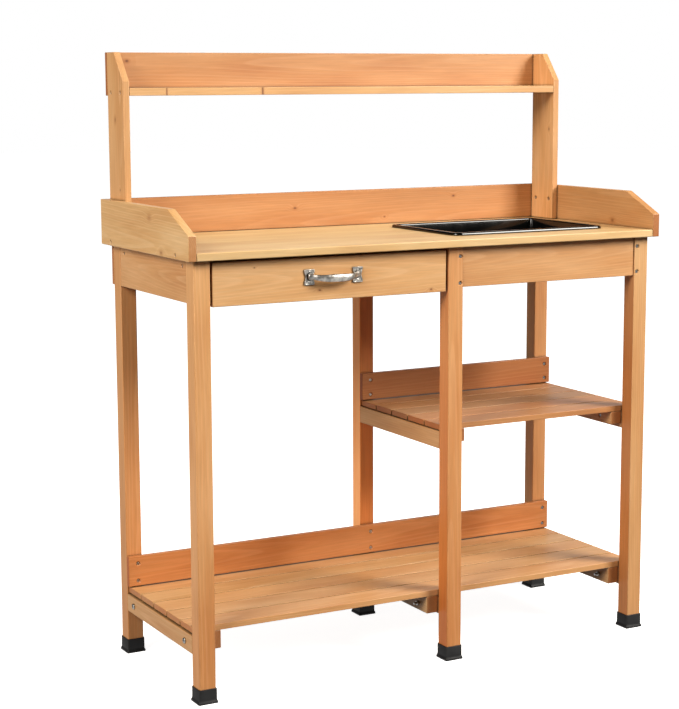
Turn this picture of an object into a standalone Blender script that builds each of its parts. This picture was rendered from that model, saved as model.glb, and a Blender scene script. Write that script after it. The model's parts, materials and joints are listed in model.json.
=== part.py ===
"""A free-standing wooden potting bench with a drawer, a lift-out sink, two slatted shelves and a
raised back rack. Every board, foot cap, rail, slat and bolt is its own closed solid.

Axes: +X to the right and +Z up when standing in front of the bench, +Y to its back. Positions in
the code run from the outer face of the left legs (x = 0), the front face of the front legs (y = 0)
and the floor (z = 0); the root empty then puts the origin at the middle of the footprint.
"""
import math

import bmesh
import bpy
from mathutils import Matrix, Vector

MM = 0.001

# ---------------------------------------------------------------- driving dimensions, in metres
GAP = 0.3 * MM                # air between two touching pieces
EASE = 1.0 * MM               # small chamfer that eases every wooden edge

FRAME_WIDTH = 1164 * MM       # over the outer faces of the left and right legs
FRAME_DEPTH = 445 * MM        # over the front and back faces of the legs
TOP_HEIGHT = 965 * MM         # floor to working surface
RACK_HEIGHT = 1377 * MM       # floor to the top of the back rack

LEG = 38 * MM                 # square section of a leg
LEG_EASE = 2 * MM
MIDDLE_LEG_X = 615 * MM       # left face of the two middle legs

CAP_HEIGHT = 32.7 * MM        # plastic foot caps
CAP_WALL = 1.4 * MM
CAP_FLOOR = 3 * MM
CAP_FLARE = 1.9 * MM          # the bottom lip stands this far outside the wall
CAP_LIP_HEIGHT = 8 * MM

TOP_THICKNESS = 17 * MM
TOP_OVERHANG_FRONT = 19 * MM
TOP_OVERHANG_BACK = 28 * MM   # to the back face of the backsplash and the side boards

SIDE_BOARD_THICKNESS = 18 * MM
SIDE_BOARD_RISE = 85 * MM     # above the working surface
SIDE_BOARD_NOSE = 36 * MM     # height of the low front end above the working surface
SIDE_BOARD_SLOPE = 107 * MM   # length of the sloping stretch, front to back
BACKSPLASH_THICKNESS = 12 * MM

POST_DEPTH = 92 * MM
POST_THICKNESS = 16 * MM
POST_CUT_DROP = 65 * MM       # the cut-off front top corner
POST_CUT_DEPTH = 51 * MM
RACK_SHELF_DROP = 79 * MM     # top of the rack to the surface of its shelf
RACK_SHELF_THICKNESS = 17 * MM
RACK_BACK_THICKNESS = 12 * MM

APRON_HEIGHT = 91 * MM
APRON_THICKNESS = 17 * MM
APRON_BACK_THICKNESS = 12 * MM
APRON_SIDE_SETBACK = 1 * MM   # behind the outer face of the legs
APRON_FRONT_SETBACK = 3.5 * MM
HOUSING_DEPTH = 14 * MM       # the front apron's ends slide into slots in the legs

RAIL_HEIGHT = 40 * MM         # rails between the legs, under the shelves' ends
SLAT_COUNT = 5
SLAT_THICKNESS = 13 * MM
SLAT_GAP = 4.5 * MM
SHELF_END_SETBACK = 4 * MM    # slat ends stop short of the outer faces of the end legs
BEARER_WIDTH = 30 * MM
SHELF_BACK_THICKNESS = 13 * MM
SHELF_BACK_CLEARANCE = 2 * MM # slats to the lower edge of a back board
LOWER_SHELF_Z = 159 * MM      # surface of the lower shelf
LOWER_BEARER_HEIGHT = 40 * MM
LOWER_BACK_HEIGHT = 72 * MM
LOWER_RAIL_DROP = 4 * MM      # the bearers stand this far above the rails, so the slats clear them
MID_SHELF_Z = 542 * MM
MID_BEARER_HEIGHT = 30 * MM
MID_BACK_HEIGHT = 67 * MM
MID_RAIL_DROP = 1.5 * MM

BOLT_DIAMETER = 6 * MM        # the bolts that hold the lower bearers to their rails
BOLT_HEAD_DIAMETER = 13 * MM
BOLT_HEAD_HEIGHT = 3.6 * MM
BOLT_NUT_ACROSS = 10 * MM
BOLT_NUT_HEIGHT = 5 * MM
BOLT_TIP = 7 * MM             # thread that stands out past the nut
BOLT_FROM_LEG = 39 * MM       # bolt centre to the nearest leg face
BOLT_HOLE_CLEARANCE = 0.4 * MM

DRAWER_SIDE_GAP = 5.5 * MM    # drawer front to each leg
DRAWER_TOP_GAP = 6 * MM       # drawer front to the underside of the top
DRAWER_FRONT_HEIGHT = 92.5 * MM
DRAWER_FRONT_THICKNESS = 15 * MM
DRAWER_FRONT_SETBACK = 2 * MM
DRAWER_LENGTH = 355 * MM      # back of the drawer front to the back of the drawer
DRAWER_BOARD = 12 * MM        # thickness of the drawer's sides and back
DRAWER_SIDE_INSET = 12 * MM   # leg face to the outer face of a drawer side
DRAWER_BOTTOM_THICKNESS = 4 * MM
DRAWER_BOTTOM_GROOVE = 6 * MM # depth of the grooves that hold the bottom panel
DRAWER_BOTTOM_LIFT = 8 * MM   # lower edge of the sides to the groove
RUNNER_LEDGE = 12 * MM        # thickness of the ledge under a drawer side
RUNNER_GUIDE_HEIGHT = 32 * MM
RUNNER_SIDE_PLAY = 0.5 * MM   # drawer side to the runner's guide
RUNNER_REACH = 14 * MM        # the ledge reaches this far under the drawer side

HANDLE_SPAN = 117 * MM        # centre to centre of the two plates
HANDLE_RISE = 4.5 * MM        # plate centres above the middle of the drawer front
PLATE_WIDTH = 24 * MM
PLATE_HEIGHT = 33 * MM
PLATE_WAIST = 3 * MM          # how far each side of a plate is hollowed
PLATE_THICKNESS = 3 * MM
GRIP_REACH = 27 * MM          # front of the grip to the drawer front
GRIP_RADIUS_MIDDLE = 8.5 * MM
GRIP_RADIUS_END = 5.5 * MM
GRIP_FLATNESS = 0.42          # front-to-back thickness of the grip over its height

SINK_WIDTH = 414 * MM         # over the rolled rim
SINK_DEPTH = 300 * MM
SINK_FROM_MIDDLE_LEG = 20 * MM    # rim to the right face of the middle leg
SINK_FROM_FRONT = 85.5 * MM   # rim to the front edge of the top
SINK_CORNER = 20 * MM
SINK_RIM_WIDTH = 13 * MM
SINK_RIM_HEIGHT = 7 * MM
SINK_BASIN_DEPTH = 100 * MM   # working surface to the basin's floor
SINK_WALL_SLOPE = 7 * MM      # how far the walls lean in from rim to floor
SINK_FLOOR_RADIUS = 14 * MM
SINK_WALL = 2.5 * MM
SINK_CUT_CLEARANCE = 2 * MM

# ---------------------------------------------------------------- derived places
TOP_UNDERSIDE = TOP_HEIGHT - TOP_THICKNESS
TOP_FRONT_Y = -TOP_OVERHANG_FRONT
TOP_BACK_Y = FRAME_DEPTH + TOP_OVERHANG_BACK
SPLASH_FRONT_Y = TOP_BACK_Y - BACKSPLASH_THICKNESS
RIM_LEVEL = TOP_HEIGHT + SIDE_BOARD_RISE

RIGHT_LEG_X = FRAME_WIDTH - LEG
BACK_LEG_Y = FRAME_DEPTH - LEG
MIDDLE_LEG_RIGHT_X = MIDDLE_LEG_X + LEG
LEG_BOTTOM = CAP_FLOOR + GAP

APRON_BOTTOM = TOP_UNDERSIDE - APRON_HEIGHT
MIDDLE_APRON_X = MIDDLE_LEG_X + (LEG - APRON_THICKNESS) / 2

DRAWER_LEFT_X = LEG + DRAWER_SIDE_GAP
DRAWER_RIGHT_X = MIDDLE_LEG_X - DRAWER_SIDE_GAP
DRAWER_TOP = TOP_UNDERSIDE - DRAWER_TOP_GAP
DRAWER_BOX_LEFT_X = LEG + DRAWER_SIDE_INSET
DRAWER_BOX_RIGHT_X = MIDDLE_LEG_X - DRAWER_SIDE_INSET
DRAWER_FRONT_BACK_Y = DRAWER_FRONT_SETBACK + DRAWER_FRONT_THICKNESS
RUNNER_TOP = APRON_BOTTOM + RUNNER_LEDGE
DRAWER_BOX_BOTTOM = RUNNER_TOP + GAP
HANDLE_Z = DRAWER_TOP - DRAWER_FRONT_HEIGHT / 2 + HANDLE_RISE
HANDLE_X = (DRAWER_LEFT_X + DRAWER_RIGHT_X) / 2
HANDLE_BACK_Y = DRAWER_FRONT_SETBACK - GAP
HANDLE_FRONT_Y = HANDLE_BACK_Y - GRIP_REACH

SINK_LEFT_X = MIDDLE_LEG_RIGHT_X + SINK_FROM_MIDDLE_LEG
SINK_CENTRE_X = SINK_LEFT_X + SINK_WIDTH / 2
SINK_CENTRE_Y = TOP_FRONT_Y + SINK_FROM_FRONT + SINK_DEPTH / 2

FRONT_MOST_Y = min(TOP_FRONT_Y, HANDLE_FRONT_Y)
ORIGIN = Vector((FRAME_WIDTH / 2, (FRONT_MOST_Y + TOP_BACK_Y) / 2, 0))

# ---------------------------------------------------------------- materials
LOOKS = {
    "stained_fir": ((0.72, 0.42, 0.19), 0.55, 0.0),
    "cast_zinc": ((0.62, 0.61, 0.58), 0.35, 1.0),
    "zinc_plated_steel": ((0.66, 0.66, 0.64), 0.3, 1.0),
    "black_plastic": ((0.012, 0.012, 0.013), 0.45, 0.0),
    "black_gloss_plastic": ((0.008, 0.008, 0.009), 0.18, 0.0),
    "plywood": ((0.74, 0.53, 0.31), 0.6, 0.0),
}


def material(name):
    """The named Principled material, made the first time it is asked for."""
    made = bpy.data.materials.get(name)
    if made is None:
        colour, roughness, metallic = LOOKS[name]
        made = bpy.data.materials.new(name)
        made.use_nodes = True
        shader = made.node_tree.nodes["Principled BSDF"]
        shader.inputs["Base Color"].default_value = (*colour, 1.0)
        shader.inputs["Roughness"].default_value = roughness
        shader.inputs["Metallic"].default_value = metallic
        made.diffuse_color = (*colour, 1.0)
    return made


# ---------------------------------------------------------------- scene helpers
def clear_scene():
    for old in list(bpy.data.objects):
        bpy.data.objects.remove(old, do_unlink=True)


def new_collection(name):
    collection = bpy.data.collections.new(name)
    bpy.context.scene.collection.children.link(collection)
    return collection


clear_scene()
PARTS = new_collection("potting_bench")
CUTTERS = new_collection("cutters")


def new_empty(name, location, parent=None):
    empty = bpy.data.objects.new(name, None)
    empty.location = location
    empty.parent = parent
    PARTS.objects.link(empty)
    return empty


ROOT = new_empty("bench_root", -ORIGIN)
DRAWER_AXIS = Vector((HANDLE_X, DRAWER_FRONT_SETBACK, RUNNER_TOP))
DRAWER_SLIDE = new_empty("drawer_slide", DRAWER_AXIS, ROOT)
SINK_AXIS = Vector((SINK_CENTRE_X, SINK_CENTRE_Y, TOP_HEIGHT))
SINK_LIFT = new_empty("sink_lift", SINK_AXIS, ROOT)


def add_object(name, bm, look, parent=ROOT, at=Vector((0, 0, 0)), collection=None):
    """Turn a bmesh into one named object at a place given in bench coordinates."""
    mesh = bpy.data.meshes.new(name)
    bmesh.ops.recalc_face_normals(bm, faces=bm.faces)
    bm.to_mesh(mesh)
    bm.free()
    made = bpy.data.objects.new(name, mesh)
    made.parent = parent
    offset = Vector((0, 0, 0)) if parent is ROOT else parent.location
    made.location = Vector(at) - offset
    (collection or PARTS).objects.link(made)
    if look:
        mesh.materials.append(material(look))
    return made


def ease_edges(made, width, segments=1):
    bevel = made.modifiers.new("eased_edges", "BEVEL")
    bevel.width = width
    bevel.segments = segments
    bevel.limit_method = "ANGLE"
    bevel.angle_limit = math.radians(40)
    return made


def box_mesh(size):
    bm = bmesh.new()
    bmesh.ops.create_cube(bm, size=1.0)
    bmesh.ops.scale(bm, vec=size, verts=bm.verts)
    return bm


def board(name, x, y, z, look="stained_fir", parent=ROOT, ease=EASE):
    """A straight board between the given pairs of faces along X, Y and Z."""
    size = Vector((x[1] - x[0], y[1] - y[0], z[1] - z[0]))
    centre = Vector(((x[0] + x[1]) / 2, (y[0] + y[1]) / 2, (z[0] + z[1]) / 2))
    made = add_object(name, box_mesh(size), look, parent, centre)
    if ease:
        ease_edges(made, ease)
    return made


def cut(target, cutter, before_bevel=True):
    """Take the cutter away from the target; the cutter stays as a hidden wire guide."""
    cutter.hide_render = True
    cutter.display_type = "WIRE"
    boolean = target.modifiers.new("cut_" + cutter.name, "BOOLEAN")
    boolean.operation = "DIFFERENCE"
    boolean.solver = "EXACT"
    boolean.object = cutter
    if before_bevel and len(target.modifiers) > 1:
        target.modifiers.move(len(target.modifiers) - 1, 0)


def box_cutter(name, x, y, z):
    size = Vector((x[1] - x[0], y[1] - y[0], z[1] - z[0]))
    centre = Vector(((x[0] + x[1]) / 2, (y[0] + y[1]) / 2, (z[0] + z[1]) / 2))
    return add_object(name, box_mesh(size), None, ROOT, centre, CUTTERS)


def profile_board(name, outline, x, look="stained_fir"):
    """A board with a shaped (y, z) outline, extruded along X between two faces."""
    bm = bmesh.new()
    ring = [bm.verts.new((x[0], py, pz)) for py, pz in outline]
    face = bm.faces.new(ring)
    grown = bmesh.ops.extrude_face_region(bm, geom=[face])
    moved = [item for item in grown["geom"] if isinstance(item, bmesh.types.BMVert)]
    bmesh.ops.translate(bm, vec=(x[1] - x[0], 0, 0), verts=moved)
    made = add_object(name, bm, look)
    return ease_edges(made, EASE)


def rounded_rectangle(width, depth, radius, corner_steps=6):
    """Points of a rounded rectangle about the origin, counter-clockwise."""
    points = []
    for corner in range(4):
        sign_x = 1 if corner in (0, 3) else -1
        sign_y = 1 if corner in (0, 1) else -1
        for step in range(corner_steps + 1):
            angle = math.radians(90) * (corner + step / corner_steps)
            points.append(Vector((
                sign_x * (width / 2 - radius) + radius * math.cos(angle),
                sign_y * (depth / 2 - radius) + radius * math.sin(angle),
                0)))
    return points


# ---------------------------------------------------------------- legs and their foot caps
LEG_COLUMNS = {"left": 0.0, "middle": MIDDLE_LEG_X, "right": RIGHT_LEG_X}
LEG_ROWS = {"front": 0.0, "back": BACK_LEG_Y}


def build_leg(row, column):
    x = LEG_COLUMNS[column]
    y = LEG_ROWS[row]
    return board(f"leg_{row}_{column}", (x, x + LEG), (y, y + LEG),
                 (LEG_BOTTOM, TOP_UNDERSIDE - GAP), ease=LEG_EASE)


def build_foot_cap(row, column):
    """A moulded cup round the leg's foot, with a flared bottom lip."""
    centre = Vector((LEG_COLUMNS[column] + LEG / 2, LEG_ROWS[row] + LEG / 2, 0))
    inside = LEG + 2 * GAP
    outside = inside + 2 * CAP_WALL
    lip = outside + 2 * CAP_FLARE
    levels = [(lip, 0.0), (lip, CAP_LIP_HEIGHT / 2), (outside, CAP_LIP_HEIGHT),
              (outside, CAP_HEIGHT), (inside, CAP_HEIGHT), (inside, CAP_FLOOR)]
    bm = bmesh.new()
    rings = []
    for width, height in levels:
        corners = rounded_rectangle(width, width, width * 0.06, 2)
        rings.append([bm.verts.new(point + Vector((0, 0, height))) for point in corners])
    for lower, upper in zip(rings, rings[1:]):
        count = len(lower)
        for i in range(count):
            j = (i + 1) % count
            bm.faces.new((lower[i], lower[j], upper[j], upper[i]))
    bm.faces.new(list(reversed(rings[0])))
    bm.faces.new(rings[-1])
    return add_object(f"foot_cap_{row}_{column}", bm, "black_plastic", ROOT, centre)


def build_legs():
    legs = {}
    for row in LEG_ROWS:
        for column in LEG_COLUMNS:
            legs[row, column] = build_leg(row, column)
            build_foot_cap(row, column)
    return legs


# ---------------------------------------------------------------- top, side boards, rack
def sink_ring(inset, z=0.0):
    """The sink's rounded outline, this far inside its rim, about the sink's own centre."""
    radius = max(SINK_CORNER - inset, 6 * MM)
    ring = rounded_rectangle(SINK_WIDTH - 2 * inset, SINK_DEPTH - 2 * inset, radius)
    return [point + Vector((0, 0, z)) for point in ring]


def build_tabletop():
    made = board("tabletop", (GAP, FRAME_WIDTH - GAP), (TOP_FRONT_Y, TOP_BACK_Y),
                 (TOP_UNDERSIDE, TOP_HEIGHT))
    bm = bmesh.new()
    wall_inset = SINK_RIM_WIDTH - SINK_WALL - SINK_CUT_CLEARANCE
    face = bm.faces.new([bm.verts.new(point) for point in sink_ring(wall_inset, -2 * TOP_THICKNESS)])
    grown = bmesh.ops.extrude_face_region(bm, geom=[face])
    moved = [item for item in grown["geom"] if isinstance(item, bmesh.types.BMVert)]
    bmesh.ops.translate(bm, vec=(0, 0, 3 * TOP_THICKNESS), verts=moved)
    cutter = add_object("sink_cut_out", bm, None, ROOT, SINK_AXIS, CUTTERS)
    cut(made, cutter, before_bevel=False)


def build_side_boards():
    nose = TOP_HEIGHT + SIDE_BOARD_NOSE
    outline = [(TOP_FRONT_Y, TOP_UNDERSIDE), (TOP_BACK_Y, TOP_UNDERSIDE), (TOP_BACK_Y, RIM_LEVEL),
               (TOP_FRONT_Y + SIDE_BOARD_SLOPE, RIM_LEVEL), (TOP_FRONT_Y, nose)]
    profile_board("side_board_left", outline, (-SIDE_BOARD_THICKNESS, 0.0))
    profile_board("side_board_right", outline, (FRAME_WIDTH, FRAME_WIDTH + SIDE_BOARD_THICKNESS))


def build_backsplash():
    board("backsplash", (GAP, FRAME_WIDTH - GAP), (SPLASH_FRONT_Y, TOP_BACK_Y),
          (TOP_HEIGHT + GAP, RIM_LEVEL))


def build_rack():
    """Two posts on the top, a shelf between them and a back board behind them."""
    back_y = SPLASH_FRONT_Y - GAP
    front_y = back_y - POST_DEPTH
    outline = [(front_y, TOP_HEIGHT + GAP), (back_y, TOP_HEIGHT + GAP), (back_y, RACK_HEIGHT),
               (front_y + POST_CUT_DEPTH, RACK_HEIGHT), (front_y, RACK_HEIGHT - POST_CUT_DROP)]
    right_x = FRAME_WIDTH - POST_THICKNESS
    profile_board("rack_post_left", outline, (GAP, POST_THICKNESS))
    profile_board("rack_post_right", outline, (right_x, FRAME_WIDTH - GAP))
    shelf_top = RACK_HEIGHT - RACK_SHELF_DROP
    shelf_bottom = shelf_top - RACK_SHELF_THICKNESS
    board("rack_shelf", (POST_THICKNESS + GAP, right_x - GAP), (front_y, back_y),
          (shelf_bottom, shelf_top))
    board("rack_back_board", (GAP, FRAME_WIDTH - GAP),
          (SPLASH_FRONT_Y, SPLASH_FRONT_Y + RACK_BACK_THICKNESS), (shelf_bottom, RACK_HEIGHT))


# ---------------------------------------------------------------- aprons
def build_aprons(legs):
    z = (APRON_BOTTOM, TOP_UNDERSIDE - GAP)
    between_legs = (LEG + GAP, BACK_LEG_Y - GAP)
    left_x = APRON_SIDE_SETBACK
    right_x = FRAME_WIDTH - APRON_SIDE_SETBACK
    board("apron_left", (left_x, left_x + APRON_THICKNESS), between_legs, z)
    board("apron_middle", (MIDDLE_APRON_X, MIDDLE_APRON_X + APRON_THICKNESS), between_legs, z)
    board("apron_right", (right_x - APRON_THICKNESS, right_x), between_legs, z)
    board("apron_back", (0.0, FRAME_WIDTH),
          (FRAME_DEPTH + GAP, FRAME_DEPTH + APRON_BACK_THICKNESS), z)
    front_y = (APRON_FRONT_SETBACK, APRON_FRONT_SETBACK + APRON_THICKNESS)
    ends_x = (MIDDLE_LEG_RIGHT_X - HOUSING_DEPTH, RIGHT_LEG_X + HOUSING_DEPTH)
    board("apron_front_right", ends_x, front_y, z)
    slot_y = (front_y[0] - GAP, front_y[1] + GAP)
    slot_z = (APRON_BOTTOM - GAP, TOP_UNDERSIDE + LEG)
    middle = box_cutter("housing_middle", (ends_x[0] - GAP, MIDDLE_LEG_RIGHT_X + LEG), slot_y, slot_z)
    right = box_cutter("housing_right", (RIGHT_LEG_X - LEG, ends_x[1] + GAP), slot_y, slot_z)
    cut(legs["front", "middle"], middle, before_bevel=False)
    cut(legs["front", "right"], right, before_bevel=False)


# ---------------------------------------------------------------- slatted shelves
def rail_faces(column):
    """The X faces of a rail: it fills the plane of its pair of legs."""
    x = LEG_COLUMNS[column]
    return (x, x + LEG)


def bearer_faces(column):
    """The X faces of a bearer, on the inner side of its rail."""
    x = LEG_COLUMNS[column]
    if column == "left":
        return (x + LEG + GAP, x + LEG + GAP + BEARER_WIDTH)
    return (x - GAP - BEARER_WIDTH, x - GAP)


def build_slats(prefix, x, surface):
    """Slats that run left to right, spread evenly from the front legs' backs to the back legs."""
    room = BACK_LEG_Y - GAP - LEG - GAP
    width = (room - (SLAT_COUNT - 1) * SLAT_GAP) / SLAT_COUNT
    for number in range(SLAT_COUNT):
        front = LEG + GAP + number * (width + SLAT_GAP)
        board(f"{prefix}_slat_{number + 1}", x, (front, front + width),
              (surface - SLAT_THICKNESS, surface))


def build_shelf(prefix, columns, surface, bearer_height, rail_drop, back_height, slats_x, back_x):
    bearer_top = surface - SLAT_THICKNESS - GAP
    rail_top = surface - SLAT_THICKNESS - rail_drop
    between_legs = (LEG + GAP, BACK_LEG_Y - GAP)
    made = {}
    for column in columns:
        rail = board(f"{prefix}_rail_{column}", rail_faces(column), between_legs,
                     (rail_top - RAIL_HEIGHT, rail_top))
        made["rail", column] = rail
    for column, faces in slats_and_bearers(prefix, columns):
        made["bearer", column] = board(f"{prefix}_bearer_{column}", faces, between_legs,
                                       (bearer_top - bearer_height, bearer_top))
    build_slats(prefix, slats_x, surface)
    board(f"{prefix}_back_board", back_x,
          (BACK_LEG_Y - GAP - SHELF_BACK_THICKNESS, BACK_LEG_Y - GAP),
          (surface + SHELF_BACK_CLEARANCE, surface + back_height))
    return made


def slats_and_bearers(prefix, columns):
    """Each bearer's column and X faces; the short shelf's first bearer is right of its rail."""
    for column in columns:
        faces = bearer_faces(column)
        if prefix == "mid" and column == "middle":
            faces = (MIDDLE_LEG_RIGHT_X + GAP, MIDDLE_LEG_RIGHT_X + GAP + BEARER_WIDTH)
        yield column, faces


def bolt_cutter(name, x, y, z):
    bm = bmesh.new()
    radius = BOLT_DIAMETER / 2 + BOLT_HOLE_CLEARANCE
    turn = Matrix.Rotation(math.radians(90), 4, "Y")
    bmesh.ops.create_cone(bm, cap_ends=True, segments=12, radius1=radius, radius2=radius,
                          depth=x[1] - x[0], matrix=turn)
    return add_object(name, bm, None, ROOT, Vector(((x[0] + x[1]) / 2, y, z)), CUTTERS)


def build_bolt(name, head_x, inner_x, outwards, y, z):
    """A bolt along X: domed head on the rail's outer face, nut and thread end inside.

    Its profile is turned about the bolt's axis; the nut is its six-sided stretch.
    """
    direction = -outwards
    grip = abs(inner_x - head_x)
    nut_start = grip + GAP
    nut_end = nut_start + BOLT_NUT_HEIGHT
    shank = BOLT_DIAMETER / 2
    nut = BOLT_NUT_ACROSS / 2 / math.cos(math.radians(30))
    head = BOLT_HEAD_DIAMETER / 2
    profile = [(-GAP - BOLT_HEAD_HEIGHT, head * 0.35), (-GAP - BOLT_HEAD_HEIGHT * 0.7, head * 0.75),
               (-GAP, head), (-GAP, shank), (nut_start, shank), (nut_start, nut), (nut_end, nut),
               (nut_end, shank), (nut_end + BOLT_TIP, shank * 0.85)]
    sides = 12
    bm = bmesh.new()
    rings = []
    for along, radius in profile:
        ring = []
        for i in range(sides):
            angle = 2 * math.pi * i / sides
            reach = radius
            if radius == nut and i % 2:
                reach = nut * math.cos(math.radians(30))
            ring.append(bm.verts.new((direction * along, reach * math.cos(angle),
                                      reach * math.sin(angle))))
        rings.append(ring)
    for first, second in zip(rings, rings[1:]):
        for i in range(sides):
            j = (i + 1) % sides
            bm.faces.new((first[i], first[j], second[j], second[i]))
    bm.faces.new(list(reversed(rings[0])))
    bm.faces.new(rings[-1])
    return add_object(name, bm, "zinc_plated_steel", ROOT, Vector((head_x, y, z)))


def build_lower_bolts(made):
    """Two bolts through the left rail and bearer, and two through the right ones."""
    z = LOWER_SHELF_Z - SLAT_THICKNESS - LOWER_RAIL_DROP - RAIL_HEIGHT / 2
    places = {"front": LEG + BOLT_FROM_LEG, "back": BACK_LEG_Y - BOLT_FROM_LEG}
    for column, outwards in (("left", -1), ("right", 1)):
        rail_x = rail_faces(column)
        bearer_x = bearer_faces(column)
        head_x = rail_x[0] if outwards < 0 else rail_x[1]
        inner_x = bearer_x[1] if outwards < 0 else bearer_x[0]
        reach = (min(head_x, inner_x) - LEG, max(head_x, inner_x) + LEG)
        for row, y in places.items():
            build_bolt(f"lower_bolt_{row}_{column}", head_x, inner_x, outwards, y, z)
            hole = bolt_cutter(f"bolt_hole_{row}_{column}", reach, y, z)
            cut(made["rail", column], hole, before_bevel=False)
            cut(made["bearer", column], hole, before_bevel=False)


def build_shelves():
    end_x = FRAME_WIDTH - SHELF_END_SETBACK
    lower = build_shelf("lower", ("left", "middle", "right"), LOWER_SHELF_Z, LOWER_BEARER_HEIGHT,
                        LOWER_RAIL_DROP, LOWER_BACK_HEIGHT, (SHELF_END_SETBACK, end_x),
                        (0.0, FRAME_WIDTH))
    build_lower_bolts(lower)
    build_shelf("mid", ("middle", "right"), MID_SHELF_Z, MID_BEARER_HEIGHT, MID_RAIL_DROP,
                MID_BACK_HEIGHT, (MIDDLE_LEG_X + SHELF_END_SETBACK, end_x),
                (MIDDLE_LEG_X, FRAME_WIDTH))


# ---------------------------------------------------------------- drawer, runners, handle
def build_runners():
    """L-shaped wooden runners on the inner faces of the left and middle aprons."""
    y = (LEG + GAP, BACK_LEG_Y - GAP)
    guide_top = RUNNER_TOP + RUNNER_GUIDE_HEIGHT
    left_face = APRON_SIDE_SETBACK + APRON_THICKNESS + GAP
    right_face = MIDDLE_APRON_X - GAP
    for side, wall, box_x in (("left", left_face, DRAWER_BOX_LEFT_X),
                              ("right", right_face, DRAWER_BOX_RIGHT_X)):
        inwards = 1 if side == "left" else -1
        guide_face = box_x - inwards * RUNNER_SIDE_PLAY
        ledge_end = box_x + inwards * RUNNER_REACH
        outline = [(wall, APRON_BOTTOM), (ledge_end, APRON_BOTTOM), (ledge_end, RUNNER_TOP),
                   (guide_face, RUNNER_TOP), (guide_face, guide_top), (wall, guide_top)]
        bm = bmesh.new()
        face = bm.faces.new([bm.verts.new((px, y[0], pz)) for px, pz in outline])
        grown = bmesh.ops.extrude_face_region(bm, geom=[face])
        moved = [item for item in grown["geom"] if isinstance(item, bmesh.types.BMVert)]
        bmesh.ops.translate(bm, vec=(0, y[1] - y[0], 0), verts=moved)
        add_object(f"drawer_runner_{side}", bm, "stained_fir")


def build_drawer():
    box_top = DRAWER_TOP
    groove_z = (DRAWER_BOX_BOTTOM + DRAWER_BOTTOM_LIFT,
                DRAWER_BOX_BOTTOM + DRAWER_BOTTOM_LIFT + DRAWER_BOTTOM_THICKNESS + 2 * GAP)
    side_y = (DRAWER_FRONT_BACK_Y + GAP, DRAWER_FRONT_BACK_Y + DRAWER_LENGTH)
    inner_left = DRAWER_BOX_LEFT_X + DRAWER_BOARD
    inner_right = DRAWER_BOX_RIGHT_X - DRAWER_BOARD
    front = board("drawer_front", (DRAWER_LEFT_X, DRAWER_RIGHT_X),
                  (DRAWER_FRONT_SETBACK, DRAWER_FRONT_BACK_Y),
                  (DRAWER_TOP - DRAWER_FRONT_HEIGHT, DRAWER_TOP), parent=DRAWER_SLIDE)
    left = board("drawer_side_left", (DRAWER_BOX_LEFT_X, inner_left), side_y,
                 (DRAWER_BOX_BOTTOM, box_top), parent=DRAWER_SLIDE)
    right = board("drawer_side_right", (inner_right, DRAWER_BOX_RIGHT_X), side_y,
                  (DRAWER_BOX_BOTTOM, box_top), parent=DRAWER_SLIDE)
    back_y = (side_y[1] - DRAWER_BOARD, side_y[1])
    board("drawer_back", (inner_left + GAP, inner_right - GAP), back_y,
          (groove_z[1], box_top), parent=DRAWER_SLIDE)
    panel_x = (inner_left - DRAWER_BOTTOM_GROOVE, inner_right + DRAWER_BOTTOM_GROOVE)
    panel_y = (DRAWER_FRONT_BACK_Y - DRAWER_BOTTOM_GROOVE, side_y[1])
    board("drawer_bottom", panel_x, panel_y, (groove_z[0] + GAP, groove_z[1] - GAP), "plywood",
          DRAWER_SLIDE, 0)
    groove = box_cutter("drawer_groove", (panel_x[0] - GAP, panel_x[1] + GAP),
                        (panel_y[0] - GAP, panel_y[1] + DRAWER_BOARD), groove_z)
    for piece in (front, left, right):
        cut(piece, groove, before_bevel=False)


def plate_outline():
    """A plate's (x, z) outline: straight top and bottom, hollowed sides."""
    steps = 6
    half_w = PLATE_WIDTH / 2
    half_h = PLATE_HEIGHT / 2
    flat = half_h * 0.55
    right = []
    for i in range(steps + 1):
        t = -1 + 2 * i / steps
        hollow = PLATE_WAIST * math.cos(t * math.pi / 2)
        right.append((half_w - hollow, t * flat))
    return ([(half_w, -half_h)] + right + [(half_w, half_h), (-half_w, half_h)]
            + [(-px, -pz) for px, pz in right] + [(-half_w, -half_h)])


def handle_plate(side):
    bm = bmesh.new()
    outline = []
    for px, pz in plate_outline():
        if not outline or (Vector((px, pz)) - outline[-1]).length > GAP:
            outline.append(Vector((px, pz)))
    shift = side * HANDLE_SPAN / 2
    face = bm.faces.new([bm.verts.new((point.x + shift, 0, point.y)) for point in outline])
    grown = bmesh.ops.extrude_face_region(bm, geom=[face])
    moved = [item for item in grown["geom"] if isinstance(item, bmesh.types.BMVert)]
    bmesh.ops.translate(bm, vec=(0, -PLATE_THICKNESS, 0), verts=moved)
    return bm


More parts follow.
